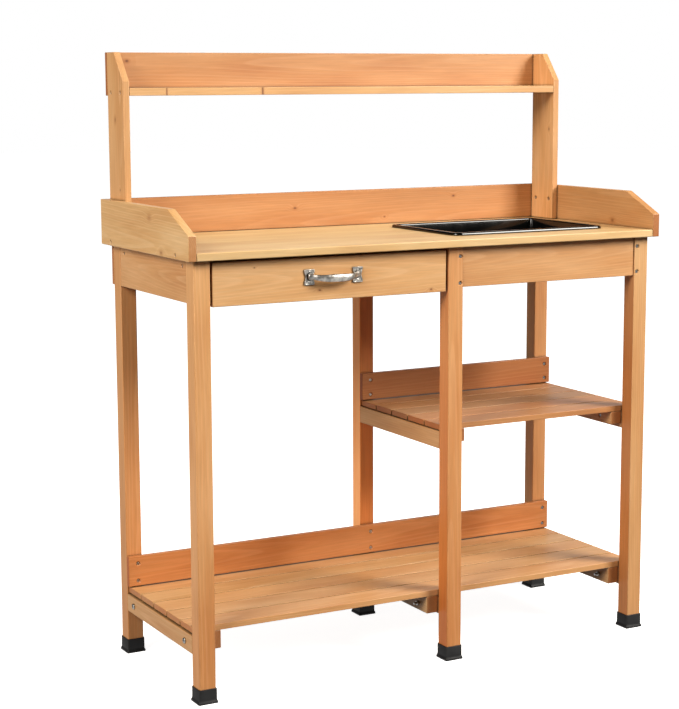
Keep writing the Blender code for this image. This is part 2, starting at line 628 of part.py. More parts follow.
def grip_mesh():
    """The bowed grip: a swelling tube, flattened front to back, as a plain mesh."""
    curve = bpy.data.curves.new("grip_path", "CURVE")
    curve.dimensions = "3D"
    curve.bevel_depth = 1.0
    curve.bevel_resolution = 2
    curve.use_fill_caps = True
    count = 15
    reach = GRIP_REACH - GRIP_RADIUS_MIDDLE * GRIP_FLATNESS
    spline = curve.splines.new("POLY")
    spline.points.add(count - 1)
    for i, point in enumerate(spline.points):
        t = -1 + 2 * i / (count - 1)
        out = reach * (1 - abs(t) ** 3.2)
        out = max(out, PLATE_THICKNESS * 0.5)
        swell = math.cos(t * math.pi / 2)
        point.co = (t * HANDLE_SPAN / 2, -out / GRIP_FLATNESS, 0, 1)
        point.radius = GRIP_RADIUS_END + (GRIP_RADIUS_MIDDLE - GRIP_RADIUS_END) * swell
    holder = bpy.data.objects.new("grip_path", curve)
    CUTTERS.objects.link(holder)
    evaluated = holder.evaluated_get(bpy.context.evaluated_depsgraph_get())
    mesh = bpy.data.meshes.new_from_object(evaluated)
    bpy.data.objects.remove(holder, do_unlink=True)
    bm = bmesh.new()
    bm.from_mesh(mesh)
    bmesh.ops.remove_doubles(bm, verts=bm.verts, dist=0.01 * MM)
    bmesh.ops.scale(bm, vec=(1, GRIP_FLATNESS, 1), verts=bm.verts)
    return bm


def build_handle():
    place = Vector((HANDLE_X, HANDLE_BACK_Y, HANDLE_Z))
    made = add_object("drawer_handle", grip_mesh(), "cast_zinc", DRAWER_SLIDE, place)
    behind = box_cutter("behind_handle", (HANDLE_X - HANDLE_SPAN, HANDLE_X + HANDLE_SPAN),
                        (HANDLE_BACK_Y, HANDLE_BACK_Y + LEG), (HANDLE_Z - LEG, HANDLE_Z + LEG))
    cut(made, behind, before_bevel=False)
    for name, side in (("left", -1), ("right", 1)):
        plate = add_object(f"handle_plate_{name}", handle_plate(side), None, ROOT, place, CUTTERS)
        plate.hide_render = True
        plate.display_type = "WIRE"
        union = made.modifiers.new("join_plate_" + name, "BOOLEAN")
        union.operation = "UNION"
        union.solver = "EXACT"
        union.object = plate


# ---------------------------------------------------------------- sink
def build_sink():
    """The moulded basin: its visible surface as rings from rim to floor, thickened downwards."""
    wall_top = SINK_RIM_WIDTH
    wall_foot = SINK_RIM_WIDTH + SINK_WALL_SLOPE
    levels = [(0.0, GAP), (0.4 * MM, SINK_RIM_HEIGHT * 0.55), (2.5 * MM, SINK_RIM_HEIGHT),
              (wall_top - 3 * MM, SINK_RIM_HEIGHT), (wall_top, SINK_RIM_HEIGHT * 0.55),
              (wall_foot, SINK_FLOOR_RADIUS - SINK_BASIN_DEPTH)]
    for step in range(1, 5):
        angle = math.radians(90) * step / 4
        levels.append((wall_foot + SINK_FLOOR_RADIUS * (1 - math.cos(angle)),
                       SINK_FLOOR_RADIUS * (1 - math.sin(angle)) - SINK_BASIN_DEPTH))
    bm = bmesh.new()
    rings = [[bm.verts.new(point) for point in sink_ring(inset, z)] for inset, z in levels]
    for outer, inner in zip(rings, rings[1:]):
        count = len(outer)
        for i in range(count):
            j = (i + 1) % count
            bm.faces.new((outer[i], outer[j], inner[j], inner[i]))
    bm.faces.new(rings[-1])
    made = add_object("sink_basin", bm, "black_gloss_plastic", SINK_LIFT, SINK_AXIS)
    shell = made.modifiers.new("wall", "SOLIDIFY")
    shell.thickness = SINK_WALL
    shell.offset = -1
    shell.use_even_offset = True
    return made


def main():
    legs = build_legs()
    build_tabletop()
    build_side_boards()
    build_backsplash()
    build_rack()
    build_aprons(legs)
    build_shelves()
    build_runners()
    build_drawer()
    build_handle()
    build_sink()
    print("nodes:", sum(1 for made in PARTS.objects if made.type == "MESH"))


main()
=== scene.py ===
# %% [markdown]
# # A wooden potting bench, finished
#
# The bench is flat-pack joinery: planed fir boards, stained a honey colour and given a satin
# lacquer, screwed and bolted together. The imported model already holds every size, so this lesson
# reads each board's place from it and spends its effort on what the eye sees: eased edges, wood
# grain that runs along each board, screw heads, moulded plastic and a cast handle.

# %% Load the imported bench
import json
import math
import random

import bmesh
import bpy
from mathutils import Matrix, Vector


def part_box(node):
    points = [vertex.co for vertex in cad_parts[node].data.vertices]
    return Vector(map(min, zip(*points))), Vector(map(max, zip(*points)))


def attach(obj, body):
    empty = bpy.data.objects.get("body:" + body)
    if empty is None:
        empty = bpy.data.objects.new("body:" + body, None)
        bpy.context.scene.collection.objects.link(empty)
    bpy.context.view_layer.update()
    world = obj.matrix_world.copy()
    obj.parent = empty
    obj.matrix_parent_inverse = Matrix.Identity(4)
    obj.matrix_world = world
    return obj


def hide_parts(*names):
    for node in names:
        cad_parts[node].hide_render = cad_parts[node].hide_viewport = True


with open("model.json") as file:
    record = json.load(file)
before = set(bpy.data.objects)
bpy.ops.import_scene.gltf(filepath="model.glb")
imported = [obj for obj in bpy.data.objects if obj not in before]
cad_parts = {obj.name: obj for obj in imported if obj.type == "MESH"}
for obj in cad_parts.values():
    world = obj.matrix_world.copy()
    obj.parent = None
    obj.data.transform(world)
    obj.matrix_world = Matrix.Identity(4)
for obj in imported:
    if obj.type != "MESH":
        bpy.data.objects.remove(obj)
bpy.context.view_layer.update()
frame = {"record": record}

MM = 0.001
QUARTER = math.radians(90)
BODIES = frame["record"]["behaviour"]["bodies"]
BODY_OF = {node: body for body, nodes in BODIES.items() for node in nodes}

# %% [markdown]
# ## The camera
#
# The bench is seen from the left of its front, a little above the working surface, with a long
# lens that keeps the legs nearly parallel. Eye place and three angles say that the way the head of
# a tripod does; the rotation is then built from the viewing direction, so no tracking constraint
# is needed.

# %% Camera
EYE = Vector((-2.068, -3.6155, 1.3136))
TURN = math.radians(-28.296)          # about the vertical; zero looks straight at the front
TILT = math.radians(-8.627)
ROLL = math.radians(-0.229)

ahead = Vector((-math.sin(TURN) * math.cos(TILT), math.cos(TURN) * math.cos(TILT), math.sin(TILT)))
level = Vector((math.cos(TURN), math.sin(TURN), 0))
rise = level.cross(ahead)
side = math.cos(ROLL) * level + math.sin(ROLL) * rise
top = math.cos(ROLL) * rise - math.sin(ROLL) * level

camera_data = bpy.data.cameras.new("camera")
camera_data.sensor_fit = "HORIZONTAL"
camera_data.sensor_width = 36
camera_data.lens = 95.9
camera = bpy.data.objects.new("camera", camera_data)
camera.matrix_world = Matrix.Translation(EYE) @ Matrix((side, top, -ahead)).transposed().to_4x4()
bpy.context.scene.collection.objects.link(camera)
bpy.context.scene.camera = camera
print("camera:", [round(value, 3) for value in camera.location], camera_data.lens, "mm")

# %% [markdown]
# ## Colours and shader nodes
#
# A finish is mixed in sRGB hex values, while the renderer works with linear light, so one
# function turns the first into the second. Shader trees are long, so one small function adds a
# node, sets what it is told and wires its inputs; the trees below then read like recipes.

# %% Colour and node helpers
def linear(hex_colour):
    """A colour such as e0a066 as linear red, green, blue and alpha."""
    channels = [int(hex_colour[i:i + 2], 16) / 255 for i in (0, 2, 4)]
    bright = [c / 12.92 if c <= 0.04045 else ((c + 0.055) / 1.055) ** 2.4 for c in channels]
    return (*bright, 1.0)


def add(tree, kind, inputs=None, stops=None, **settings):
    """Adds one node. Inputs are values, sockets or nodes, and stops are a ramp's colours."""
    node = tree.nodes.new("ShaderNode" + kind)
    for name, value in settings.items():
        setattr(node, name, value)
    for socket, value in (inputs or {}).items():
        if isinstance(value, bpy.types.Node):
            value = value.outputs[0]
        if isinstance(value, bpy.types.NodeSocket):
            tree.links.new(value, node.inputs[socket])
        else:
            node.inputs[socket].default_value = value
    if stops:
        marks = node.color_ramp.elements
        while len(marks) < len(stops):
            marks.new(1.0)
        for mark, (place, colour) in zip(marks, stops):
            mark.position = place
            mark.color = linear(colour)
    return node


def new_material(name, **surface):
    """An empty Principled material: its tree, its shader and the material itself."""
    made = bpy.data.materials.new(name)
    made.use_nodes = True
    shader = made.node_tree.nodes["Principled BSDF"]
    for socket, value in surface.items():
        shader.inputs[socket.replace("_", " ")].default_value = value
    return made.node_tree, shader, made


def wire(tree, shader, **results):
    """Wires each result of a tree to the shader's socket of that name."""
    for socket, node in results.items():
        tree.links.new(node.outputs[0], shader.inputs[socket.replace("_", " ")])


print("mid honey in linear light:", [round(value, 3) for value in linear("e0a066")[:3]])

# %% [markdown]
# ## Stained fir
#
# Every board is cut from a log, and its figure is nothing but the log's growth rings met at an
# angle: straight lines on a face cut through the heart, long flames on a face cut near the bark,
# arcs on the end grain. So the material doesn't paint lines. It measures each point's distance
# from the heart of its own log, held in the attribute "grain", and shades the rings found there.
#
# Fir takes stain unevenly. The soft early wood drinks it and turns orange, while the hard late
# wood stays as pale thin lines, and the stain gathers in broad clouds and in fine streaks along
# the fibres. Ambient occlusion over a few millimetres also darkens the wood wherever boards meet
# and in every corner: painted shade. Knots are branches: dark brown, with the rings pushed
# around them.

# %% Fir: sizes and colours
RING_SPACING = 4.2 * MM       # real rings are 2 to 4 mm; drawn at the wide end, or they vanish
RING_WANDER = 7 * MM          # how far a ring strays from a true circle
STREAK_WIDTH = 4 * MM         # real fibre bundles are under 1 mm; drawn as wide as they need to show
STREAK_LENGTH = 90 * MM
FIBRE_WIDTH = 1.2 * MM
FIBRE_LENGTH = 30 * MM
CLOUD_WIDTH = 60 * MM
CLOUD_LENGTH = 300 * MM
JOINT_SHADE_REACH = 8 * MM          # painted shade darkens the wood this close to where boards meet
HONEY = "ce9962"
HONEY_DEEP = "c48a53"
HONEY_PALE = "d7a672"
LATE_WOOD = "e2b585"
KNOT_HEART = "5e3015"
KNOT_RIM = "a05e2c"
KNOTS = ("knot_a", "knot_b", "knot_c")    # room for three knots on a board


def stretched_noise(tree, grain, length, width, detail):
    """Noise drawn out along the grain: spots of this length and width, about zero to one."""
    scaled = add(tree, "VectorMath", {0: grain, 1: (1 / length, 1 / width, 1 / width)},
                 operation="MULTIPLY")
    return add(tree, "TexNoise", {"Vector": scaled, "Scale": 1.0, "Detail": detail})


def knot_nearness(tree, name, reach):
    """One at the knot's middle, falling smoothly to zero at this many knot radii."""
    place = add(tree, "Attribute", attribute_name=name)
    away = add(tree, "VectorMath", {0: place.outputs["Vector"]}, operation="LENGTH")
    return add(tree, "MapRange", {"Value": away.outputs["Value"], "From Min": 0.0,
                                  "From Max": reach, "To Min": 1.0, "To Max": 0.0},
               interpolation_type="SMOOTHSTEP")


def fir_material():
    tree, shader, made = new_material("fir_planed_stained_and_satin_lacquered", Roughness=0.48,
                                      IOR=1.5, Coat_Weight=0.12, Coat_Roughness=0.3)
    grain = add(tree, "Attribute", attribute_name="grain").outputs["Vector"]
    look = add(tree, "Attribute", attribute_name="look").outputs["Vector"]
    look = add(tree, "SeparateXYZ", {0: look})
    tone, warmth, figure_strength = look.outputs[0], look.outputs[1], look.outputs[2]

    # Rings: distance from the heart of the log, after it wanders and is pushed round the knots.
    wander = stretched_noise(tree, grain, 700 * MM, 90 * MM, 2.0)
    centred = add(tree, "VectorMath", {0: wander.outputs["Color"], 1: (0.5, 0.5, 0.5)},
                  operation="SUBTRACT")
    strayed = add(tree, "VectorMath", {0: centred, 1: (0, 2 * RING_WANDER, 2 * RING_WANDER),
                                       2: grain}, operation="MULTIPLY_ADD")
    across = add(tree, "VectorMath", {0: strayed, 1: (0, 1, 1)}, operation="MULTIPLY")
    radius = add(tree, "VectorMath", {0: across}, operation="LENGTH").outputs["Value"]
    push = 0.0
    for name in KNOTS:
        push = add(tree, "Math", {0: knot_nearness(tree, name, 5.0), 1: push}, operation="ADD")
    rings = add(tree, "Math", {0: push, 1: 1.6, 2: add(tree, "Math", {0: radius, 1: RING_SPACING},
                                                       operation="DIVIDE")},
                operation="MULTIPLY_ADD")
    phase = add(tree, "Math", {0: rings}, operation="FRACT")
    year = add(tree, "TexWhiteNoise", {"W": add(tree, "Math", {0: rings}, operation="FLOOR")},
               noise_dimensions="1D")
    late = add(tree, "ValToRGB", {0: phase},
               stops=[(0.0, "4a4a4a"), (0.12, "000000"), (0.5, "1c1c1c"), (0.82, "ffffff"),
                      (0.93, "ffffff"), (1.0, "4a4a4a")])
    strength = add(tree, "MapRange", {"Value": year.outputs["Value"], "To Min": 0.15, "To Max": 1.0})
    clouds = stretched_noise(tree, grain, CLOUD_LENGTH, CLOUD_WIDTH, 3.0)
    figure = add(tree, "Math", {0: figure_strength, 1: strength}, operation="MULTIPLY")
    line = add(tree, "Math", {0: late, 1: figure}, operation="MULTIPLY")

    # Stain: a ground that clouds between deep and pale honey, with pale late wood on it.
    stain = add(tree, "ValToRGB", {0: clouds.outputs["Fac"]},
                stops=[(0.3, HONEY_DEEP), (0.5, HONEY), (0.72, HONEY_PALE)])
    ground = add(tree, "MixRGB", {"Fac": line, "Color1": stain, "Color2": linear(LATE_WOOD)})
    streaks = stretched_noise(tree, grain, STREAK_LENGTH, STREAK_WIDTH, 2.0)
    fibres = stretched_noise(tree, grain, FIBRE_LENGTH, FIBRE_WIDTH, 2.0)
    uneven = add(tree, "MapRange", {"Value": streaks.outputs["Fac"], "From Min": 0.3,
                                    "From Max": 0.7, "To Min": 0.94, "To Max": 1.05})
    fine = add(tree, "MapRange", {"Value": fibres.outputs["Fac"], "From Min": 0.3,
                                  "From Max": 0.7, "To Min": 0.97, "To Max": 1.03})
    # Ambient occlusion darkens the wood where boards meet and in corners: painted shade.
    joint_occlusion = add(tree, "AmbientOcclusion", {"Distance": JOINT_SHADE_REACH}, samples=6)
    painted_joint_shade = add(tree, "MapRange", {"Value": joint_occlusion.outputs["AO"], "From Min": 0.3, "From Max": 0.85,
                                   "To Min": 0.22, "To Max": 1.0})
    board = add(tree, "Math", {0: tone, 1: painted_joint_shade}, operation="MULTIPLY")
    for share in (uneven, fine):
        board = add(tree, "Math", {0: board, 1: share}, operation="MULTIPLY")
    less_green = add(tree, "Math", {0: warmth, 1: -0.2, 2: 1.0}, operation="MULTIPLY_ADD")
    less_blue = add(tree, "Math", {0: warmth, 1: -0.33, 2: 1.0}, operation="MULTIPLY_ADD")
    cast = add(tree, "CombineXYZ", {0: 1.0, 1: less_green, 2: less_blue})
    shade = add(tree, "VectorMath", {0: cast, "Scale": board}, operation="SCALE")
    tinted = add(tree, "VectorMath", {0: ground, 1: shade}, operation="MULTIPLY")

    # Knots: a dark heart inside a softer brown rim.
    colour = tinted
    for name in KNOTS:
        for reach, brown, share in ((2.4, KNOT_RIM, 0.6), (1.1, KNOT_HEART, 0.9)):
            near = add(tree, "Math", {0: knot_nearness(tree, name, reach), 1: share},
                       operation="MULTIPLY")
            colour = add(tree, "MixRGB", {"Fac": near, "Color1": colour, "Color2": linear(brown)})

    # The planer leaves late wood standing a hair proud, and the lacquer sinks into the fibres.
    relief = add(tree, "Math", {0: fibres.outputs["Fac"], 1: 0.5, 2: late}, operation="MULTIPLY_ADD")
    bump = add(tree, "Bump", {"Strength": 0.25, "Distance": 0.12 * MM, "Height": relief})
    gloss = add(tree, "MapRange", {"Value": streaks.outputs["Fac"], "To Min": 0.56, "To Max": 0.38})
    wire(tree, shader, Base_Color=colour, Normal=bump, Roughness=gloss)
    return made


FIR = fir_material()
print("fir material:", len(FIR.node_tree.nodes), "nodes")

# %% [markdown]
# ## Making a board
#
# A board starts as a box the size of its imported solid. Real boards have eased edges, which catch
# a thin line of light, so every edge is rounded by a bevel, and slots or screw seats are then cut
# with an exact boolean, because a rounded slot would look like a casting.
#
# The grain is written next. Each corner of the mesh learns where it sat in its log: how far along,
# and how far from the heart both ways. Boards are sawn a little askew to the log, and that lean is
# what draws flames on their faces.

# %% Mesh helpers
def box_mesh(low, high):
    """A closed box between two corners."""
    bm = bmesh.new()
    bmesh.ops.create_cube(bm, size=1.0)
    bmesh.ops.scale(bm, vec=Vector(high) - Vector(low), verts=bm.verts)
    bmesh.ops.translate(bm, vec=(Vector(low) + Vector(high)) / 2, verts=bm.verts)
    return bm


def cone_mesh(foot_radius, top_radius, height, place, segments=20):
    """A closed cone or cylinder about its own middle, put in its place."""
    bm = bmesh.new()
    bmesh.ops.create_cone(bm, cap_ends=True, segments=segments, radius1=foot_radius,
                          radius2=top_radius, depth=height, matrix=place)
    return bm


def bevel(bm, corners, radius, segments, affect="EDGES"):
    """Rounds the given edges, or the given vertices of a flat face."""
    return bmesh.ops.bevel(bm, geom=corners, offset=radius, offset_type="OFFSET", affect=affect,
                           segments=segments, profile=0.5, clamp_overlap=True, material=-1)


def round_edges(bm, radius, segments=3, sharper_than=40):
    """Rounds the edges that turn by more than this many degrees."""
    bm.normal_update()
    sharp = [e for e in bm.edges if e.calc_face_angle(0) > math.radians(sharper_than)]
    for face in bevel(bm, sharp, radius, segments)["faces"]:
        face.smooth = True
    return bm


def turned_to(direction):
    """The rotation that turns up into this direction."""
    return Vector((0, 0, 1)).rotation_difference(direction).to_matrix().to_4x4()


def as_mesh(name, bm):
    mesh = bpy.data.meshes.new(name)
    bm.to_mesh(mesh)
    bm.free()
    return mesh


def add_copy(bm, mesh, place):
    """Copies a mesh into a body, in its place."""
    start = len(bm.verts)
    bm.from_mesh(mesh)
    bm.verts.ensure_lookup_table()
    bmesh.ops.transform(bm, matrix=place, verts=bm.verts[start:])


def as_object(name, bm):
    made = bpy.data.objects.new(name, as_mesh(name, bm))
    bpy.context.scene.collection.objects.link(made)
    return made


def discard(*objects):
    for made in objects:
        mesh = made.data
        bpy.data.objects.remove(made)
        bpy.data.meshes.remove(mesh)


def carve(bm, cutters, operation="DIFFERENCE"):
    """Takes each closed cutter out of the body with an exact boolean."""
    body = as_object("carved_body", bm)
    tools = [as_object("carving_tool", cutter) for cutter in cutters]
    for tool in tools:
        boolean = body.modifiers.new("carve", "BOOLEAN")
        boolean.solver = "EXACT"
        boolean.operation = operation
        boolean.object = tool
    bpy.context.view_layer.update()
    result = body.evaluated_get(bpy.context.evaluated_depsgraph_get()).to_mesh()
    carved = bmesh.new()
    carved.from_mesh(result)
    discard(body, *tools)
    return carved


def add_piece(name, bm, finish, body, slot, *nodes):
    """One finished piece in the scene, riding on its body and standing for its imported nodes."""
    piece = as_object(name, bm)
    piece.data.materials.append(finish)
    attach(piece, body)
    if nodes:
        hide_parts(*nodes)
    return piece


# %% Grain helper
FAR_OFF = 99.0                # a board without a knot keeps it this many radii away
END_CUT = 0.9                 # a face turned this squarely to the grain is end grain
END_SHADE = 0.74              # end grain drinks more stain: darker,
END_WARMTH = 1.3              # and redder
PLAIN = (0.0, 0.0)            # no change of tone and warmth


def write_attribute(mesh, name, domain, vectors):
    layer = mesh.attributes.new(name, "FLOAT_VECTOR", domain)
    layer.data.foreach_set("vector", [number for vector in vectors for number in vector])


def lay_grain(piece, seed, tone=1.0, warmth=0.0, figure=0.45, lean=0.025, heart=60 * MM,
              knots=(), along=None, stave_lines=(), low_end=PLAIN, left_face=PLAIN):
    """Writes where every corner of a board sat in its log, and the board's own shade.

    A tone and a warmth may be added towards the board's low end, painted shade, and on its left
    face, painted light and shade.

    Knots are (along, across, radius) in the bench's own coordinates, and a fourth number makes one
    faint. Stave lines are where a glued-up panel changes from one board to the next, across its
    width.
    """
    mesh = piece.data
    places = [vertex.co for vertex in mesh.vertices]
    low = Vector([min(place[i] for place in places) for i in range(3)])
    high = Vector([max(place[i] for place in places) for i in range(3)])
    by_length = sorted(range(3), key=lambda axis: low[axis] - high[axis])
    if along is not None:
        by_length.remove(along)
        by_length.insert(0, along)
    length_axis, width_axis, depth_axis = by_length
    middle = (low + high) / 2
    logs = []
    for stave in range(len(stave_lines) + 1):
        chance = random.Random(f"{seed} {stave}")
        angle = chance.uniform(-0.9, 0.9)
        depth = heart * chance.uniform(0.7, 1.3)
        logs.append({
            "shift": chance.uniform(2, 9),
            "heart": (depth * math.sin(angle), depth * math.cos(angle)),
            "lean": (chance.uniform(-lean, lean) / 2,
                     chance.choice((-1, 1)) * lean * chance.uniform(0.5, 1)),
            "shade": tone * (1 + chance.uniform(-0.03, 0.03)),
            "warmth": warmth + chance.uniform(-0.25, 0.25)})
    grain, look = [], []
    knot_places = {name: [] for name in KNOTS}
    for face in mesh.polygons:
        stave = sum(face.center[width_axis] > line for line in stave_lines)
        log = logs[stave]
        end_grain = abs(face.normal[length_axis]) > END_CUT
        face_tone = log["shade"] * (END_SHADE if end_grain else 1)
        face_warmth = log["warmth"] + (END_WARMTH if end_grain else 0)
        # Painted light and shade on the left face, by a tone and a warmth of its own.
        if face.normal.x < -END_CUT:
            face_tone += left_face[0]
            face_warmth += left_face[1]
        for index in face.vertices:
            offset = mesh.vertices[index].co - middle
            # Darker and warmer towards the low end: painted shade.
            down = 0.5 - offset[length_axis] / (high - low)[length_axis]
            look.append((face_tone + down * low_end[0], face_warmth + down * low_end[1], figure))
            u = offset[length_axis]
            grain.append((u + log["shift"],
                          offset[width_axis] + log["heart"][0] + log["lean"][0] * u,
                          offset[depth_axis] + log["heart"][1] + log["lean"][1] * u))
            place = mesh.vertices[index].co
            for number, name in enumerate(knot_places):
                if number < len(knots):
                    knot_u, knot_v, radius, faint = (*knots[number], 0)[:4]
                    knot_places[name].append(((place[length_axis] - knot_u) / (1.5 * radius),
                                              (place[width_axis] - knot_v) / radius, faint))
                else:
                    knot_places[name].append((FAR_OFF, FAR_OFF, 0))
    write_attribute(mesh, "grain", "CORNER", grain)
    write_attribute(mesh, "look", "CORNER", look)
    for name, values in knot_places.items():
        write_attribute(mesh, name, "CORNER", values)
    return piece


print("helpers ready")

# %% [markdown]
# ## Screws
#
# The bench is held by countersunk cross-head screws, and each shows as a bright disc in a dark
# ring. A flat disc laid on the wood would look like a sticker, so each screw sits in a conical
# seat cut into its board: the seat's shadow is the ring. The heads are one small turned shape
# with a cross cut into it, copied to every place.
#
# The places come first, because the boards need their seats. They are measured from the packed
# boards: a screw goes through the middle of the board behind it.

# %% Screw places
HEAD_RADIUS = 3.3 * MM
SEAT_RADIUS = 5.6 * MM
SEAT_DEPTH = 5.0 * MM
SEAT_FOOT_RADIUS = 1.6 * MM
SEAT_PROUD = 0.6 * MM         # the cutting cone stands this far out of the face
HEAD_SUNK = 2.0 * MM          # driven a little below the face, which is what shades the seat
SIDE_BOARD_SCREWS = (70 * MM, 57 * MM)    # in from the top's front and back edges
APRON_SCREW_IN = 22 * MM      # from each end of a side apron
APRON_SCREW_DOWN = 15 * MM
POST_SCREWS = (17 * MM, 18 * MM)          # in from a post's front and back edges
POST_SCREW_UP = 51 * MM       # above the working surface
SHELF_BACK_SCREWS = (12 * MM, 17 * MM)    # up from the lower edge, down from the upper one
REAR_SCREW_IN = 20 * MM       # from the edges of the boards screwed on from behind
MID_BEARER_SCREW_IN = 45 * MM
screws = {}                   # board -> list of (point on its face, outward direction)


def screw(node, direction, x=None, y=None, z=None):
    """A screw in the face of a node that looks along the direction, at the two other places."""
    low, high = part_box(node)
    direction = Vector(direction)
    point = Vector([high[i] if direction[i] > 0 else low[i] for i in range(3)])
    for axis, place in enumerate((x, y, z)):
        if place is not None:
            point[axis] = place
    screws.setdefault(node, []).append((point, direction))


def middle_of(node, axis):
    low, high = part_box(node)
    return (low[axis] + high[axis]) / 2


X, Y, Z = range(3)
LEFT, RIGHT, FRONT, BACK, DOWN = (-1, 0, 0), (1, 0, 0), (0, -1, 0), (0, 1, 0), (0, 0, -1)
top_low, top_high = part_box("tabletop")
for board, outwards in (("side_board_left", LEFT), ("side_board_right", RIGHT)):
    for y in (top_low.y + SIDE_BOARD_SCREWS[0], top_high.y - SIDE_BOARD_SCREWS[1]):
        screw(board, outwards, y=y, z=middle_of("tabletop", Z))
for board, outwards in (("apron_left", LEFT), ("apron_right", RIGHT)):
    low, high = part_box(board)
    for y in (low.y + APRON_SCREW_IN, high.y - APRON_SCREW_IN):
        screw(board, outwards, y=y, z=high.z - APRON_SCREW_DOWN)
apron_low, apron_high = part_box("apron_front_right")
for leg, x in (("leg_front_middle", apron_low.x + 7 * MM),
               ("leg_front_right", apron_high.x - 6 * MM)):
    for z in (apron_high.z - 22 * MM, apron_low.z + 9 * MM):
        screw(leg, FRONT, x=x, z=z)
for post, inwards, outwards in (("rack_post_left", RIGHT, LEFT), ("rack_post_right", LEFT, RIGHT)):
    low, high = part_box(post)
    for y in (low.y + POST_SCREWS[0], high.y - POST_SCREWS[1]):
        screw(post, inwards, y=y, z=top_high.z + POST_SCREW_UP)
        screw(post, outwards, y=y, z=middle_of("rack_shelf", Z) - 2 * MM)
for board, columns in (("lower_back_board", ("left", "middle", "right")),
                       ("mid_back_board", ("middle", "right"))):
    low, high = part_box(board)
    for column in columns:
        x = middle_of(f"leg_back_{column}", X) + 4 * MM
        for z in (low.z + SHELF_BACK_SCREWS[0], high.z - SHELF_BACK_SCREWS[1]):
            screw(board, FRONT, x=x, z=z)
for column in ("left", "middle", "right"):
    for z in (apron_low.z + REAR_SCREW_IN, apron_high.z - REAR_SCREW_IN):
        screw("apron_back", BACK, x=middle_of(f"leg_back_{column}", X), z=z)
for side_post in ("rack_post_left", "rack_post_right"):
    for board in ("rack_back_board", "backsplash"):
        low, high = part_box(board)
        for z in (low.z + REAR_SCREW_IN, high.z - REAR_SCREW_IN):
            screw(board, BACK, x=middle_of(side_post, X), z=z)
for board in [f"{shelf}_bearer_{column}" for shelf, columns in
              (("lower", ("left", "middle", "right")), ("mid", ("middle", "right")))
              for column in columns]:
    shelf = board.split("_")[0]
    for number in range(1, 6):
        screw(board, DOWN, x=middle_of(board, X), y=middle_of(f"{shelf}_slat_{number}", Y))
low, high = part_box("mid_bearer_middle")
for bearer, inwards in (("mid_bearer_middle", RIGHT), ("mid_bearer_right", LEFT)):
    for y in (low.y + MID_BEARER_SCREW_IN, high.y - MID_BEARER_SCREW_IN):
        screw(bearer, inwards, y=y, z=middle_of(bearer, Z))
print("screws:", sum(len(places) for places in screws.values()))


# %% [markdown]
# A seat is a cone sunk in the board's face. Its tool pokes a little way out of the face, so that
# the boolean has a clean crossing to work with.

# %% Screw seats
def seat_cutters(node):
    cutters = []
    for point, direction in screws.get(node, ()):
        centre = point + direction * (SEAT_PROUD - SEAT_DEPTH) / 2
        cutters.append(cone_mesh(SEAT_FOOT_RADIUS, SEAT_RADIUS + 0.8 * SEAT_PROUD,
                                 SEAT_DEPTH + SEAT_PROUD,
                                 Matrix.Translation(centre) @ turned_to(direction)))
    return cutters


def fir_board(node, rounding=1.2 * MM, cutters=(), shape=None, **grain):
    """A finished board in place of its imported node."""
    low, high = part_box(node)
    bm = shape or box_mesh(low, high)
    round_edges(bm, rounding)
    tools = list(cutters) + seat_cutters(node)
    if tools:
        bm = carve(bm, tools)
    piece = add_piece(f"{node}_stained", bm, FIR, BODY_OF[node], "stained_fir", node)
    return lay_grain(piece, node, **grain)


# %% [markdown]
# ## Legs
#
# Six planed square posts. Their edges are rounded more than a board's, and that rounding is the
# bright line down the near corner of each leg. The two front legs on the right are slotted for
# the ends of the front apron, which a viewer only sees from above or behind.
#
# A leg's left face takes its own tone and warmth, painted light and shade for how the light falls
# on that side, and its low end is painted darker and warmer, painted shade for the light falling
# off towards the floor.

# %% Legs
GAP = 0.3 * MM
LEG_SHADE = {                 # tone, warmth, what its left face adds (painted light and shade), what its low end adds (painted shade)
    "leg_front_left": (1.19, 0.1, (-0.04, 0.0), (-0.12, 0.8)),
    "leg_front_middle": (1.08, 0.35, (-0.06, 1.0), (-0.08, 0.8)),
    "leg_front_right": (1.04, 0.0, (-0.2, 1.3), (-0.02, 0.5)),
    "leg_back_left": (1.05, 0.6, (-0.05, -0.3), (-0.1, 0.6)),
    # The back middle leg stands deep under the top, behind the drawer: its strong warmth is painted
    # shade.
    "leg_back_middle": (1.2, 2.2, (0.6, -1.0), PLAIN),
    "leg_back_right": (1.0, 0.4, PLAIN, (-0.1, 0.5))}
for node, (tone, warmth, left_face, low_end) in LEG_SHADE.items():
    cutters = []
    if node in ("leg_front_middle", "leg_front_right"):
        reach = Vector((GAP, GAP, GAP))
        cutters.append(box_mesh(apron_low - reach, apron_high + reach + Vector((0, 0, 5 * MM))))
    fir_board(node, 2.2 * MM, cutters, tone=tone, warmth=warmth, lean=0.012,
              left_face=left_face, low_end=low_end)
print("legs:", len(LEG_SHADE))

# %% [markdown]
# ## The working surface
#
# The top is a panel of narrow boards glued edge to edge, which keeps it flat outdoors. One long
# box with one grain would look like a giant plank, so the box is split along the glue lines and
# each strip takes its own log. The sink's opening is cut last, with a rounded tool.

# %% Tabletop
STAVES = 5
SINK_CUT_INSET = 8.5 * MM     # the rim covers the edge of the opening by this much
SINK_CORNER = 20 * MM


def rounded_block(low, high, radius, segments=8):
    """A box whose four upright edges are round."""
    bm = box_mesh(low, high)
    upright = [e for e in bm.edges if abs((e.verts[0].co - e.verts[1].co).normalized().z) > 0.9]
    bevel(bm, upright, radius, segments)
    return bm


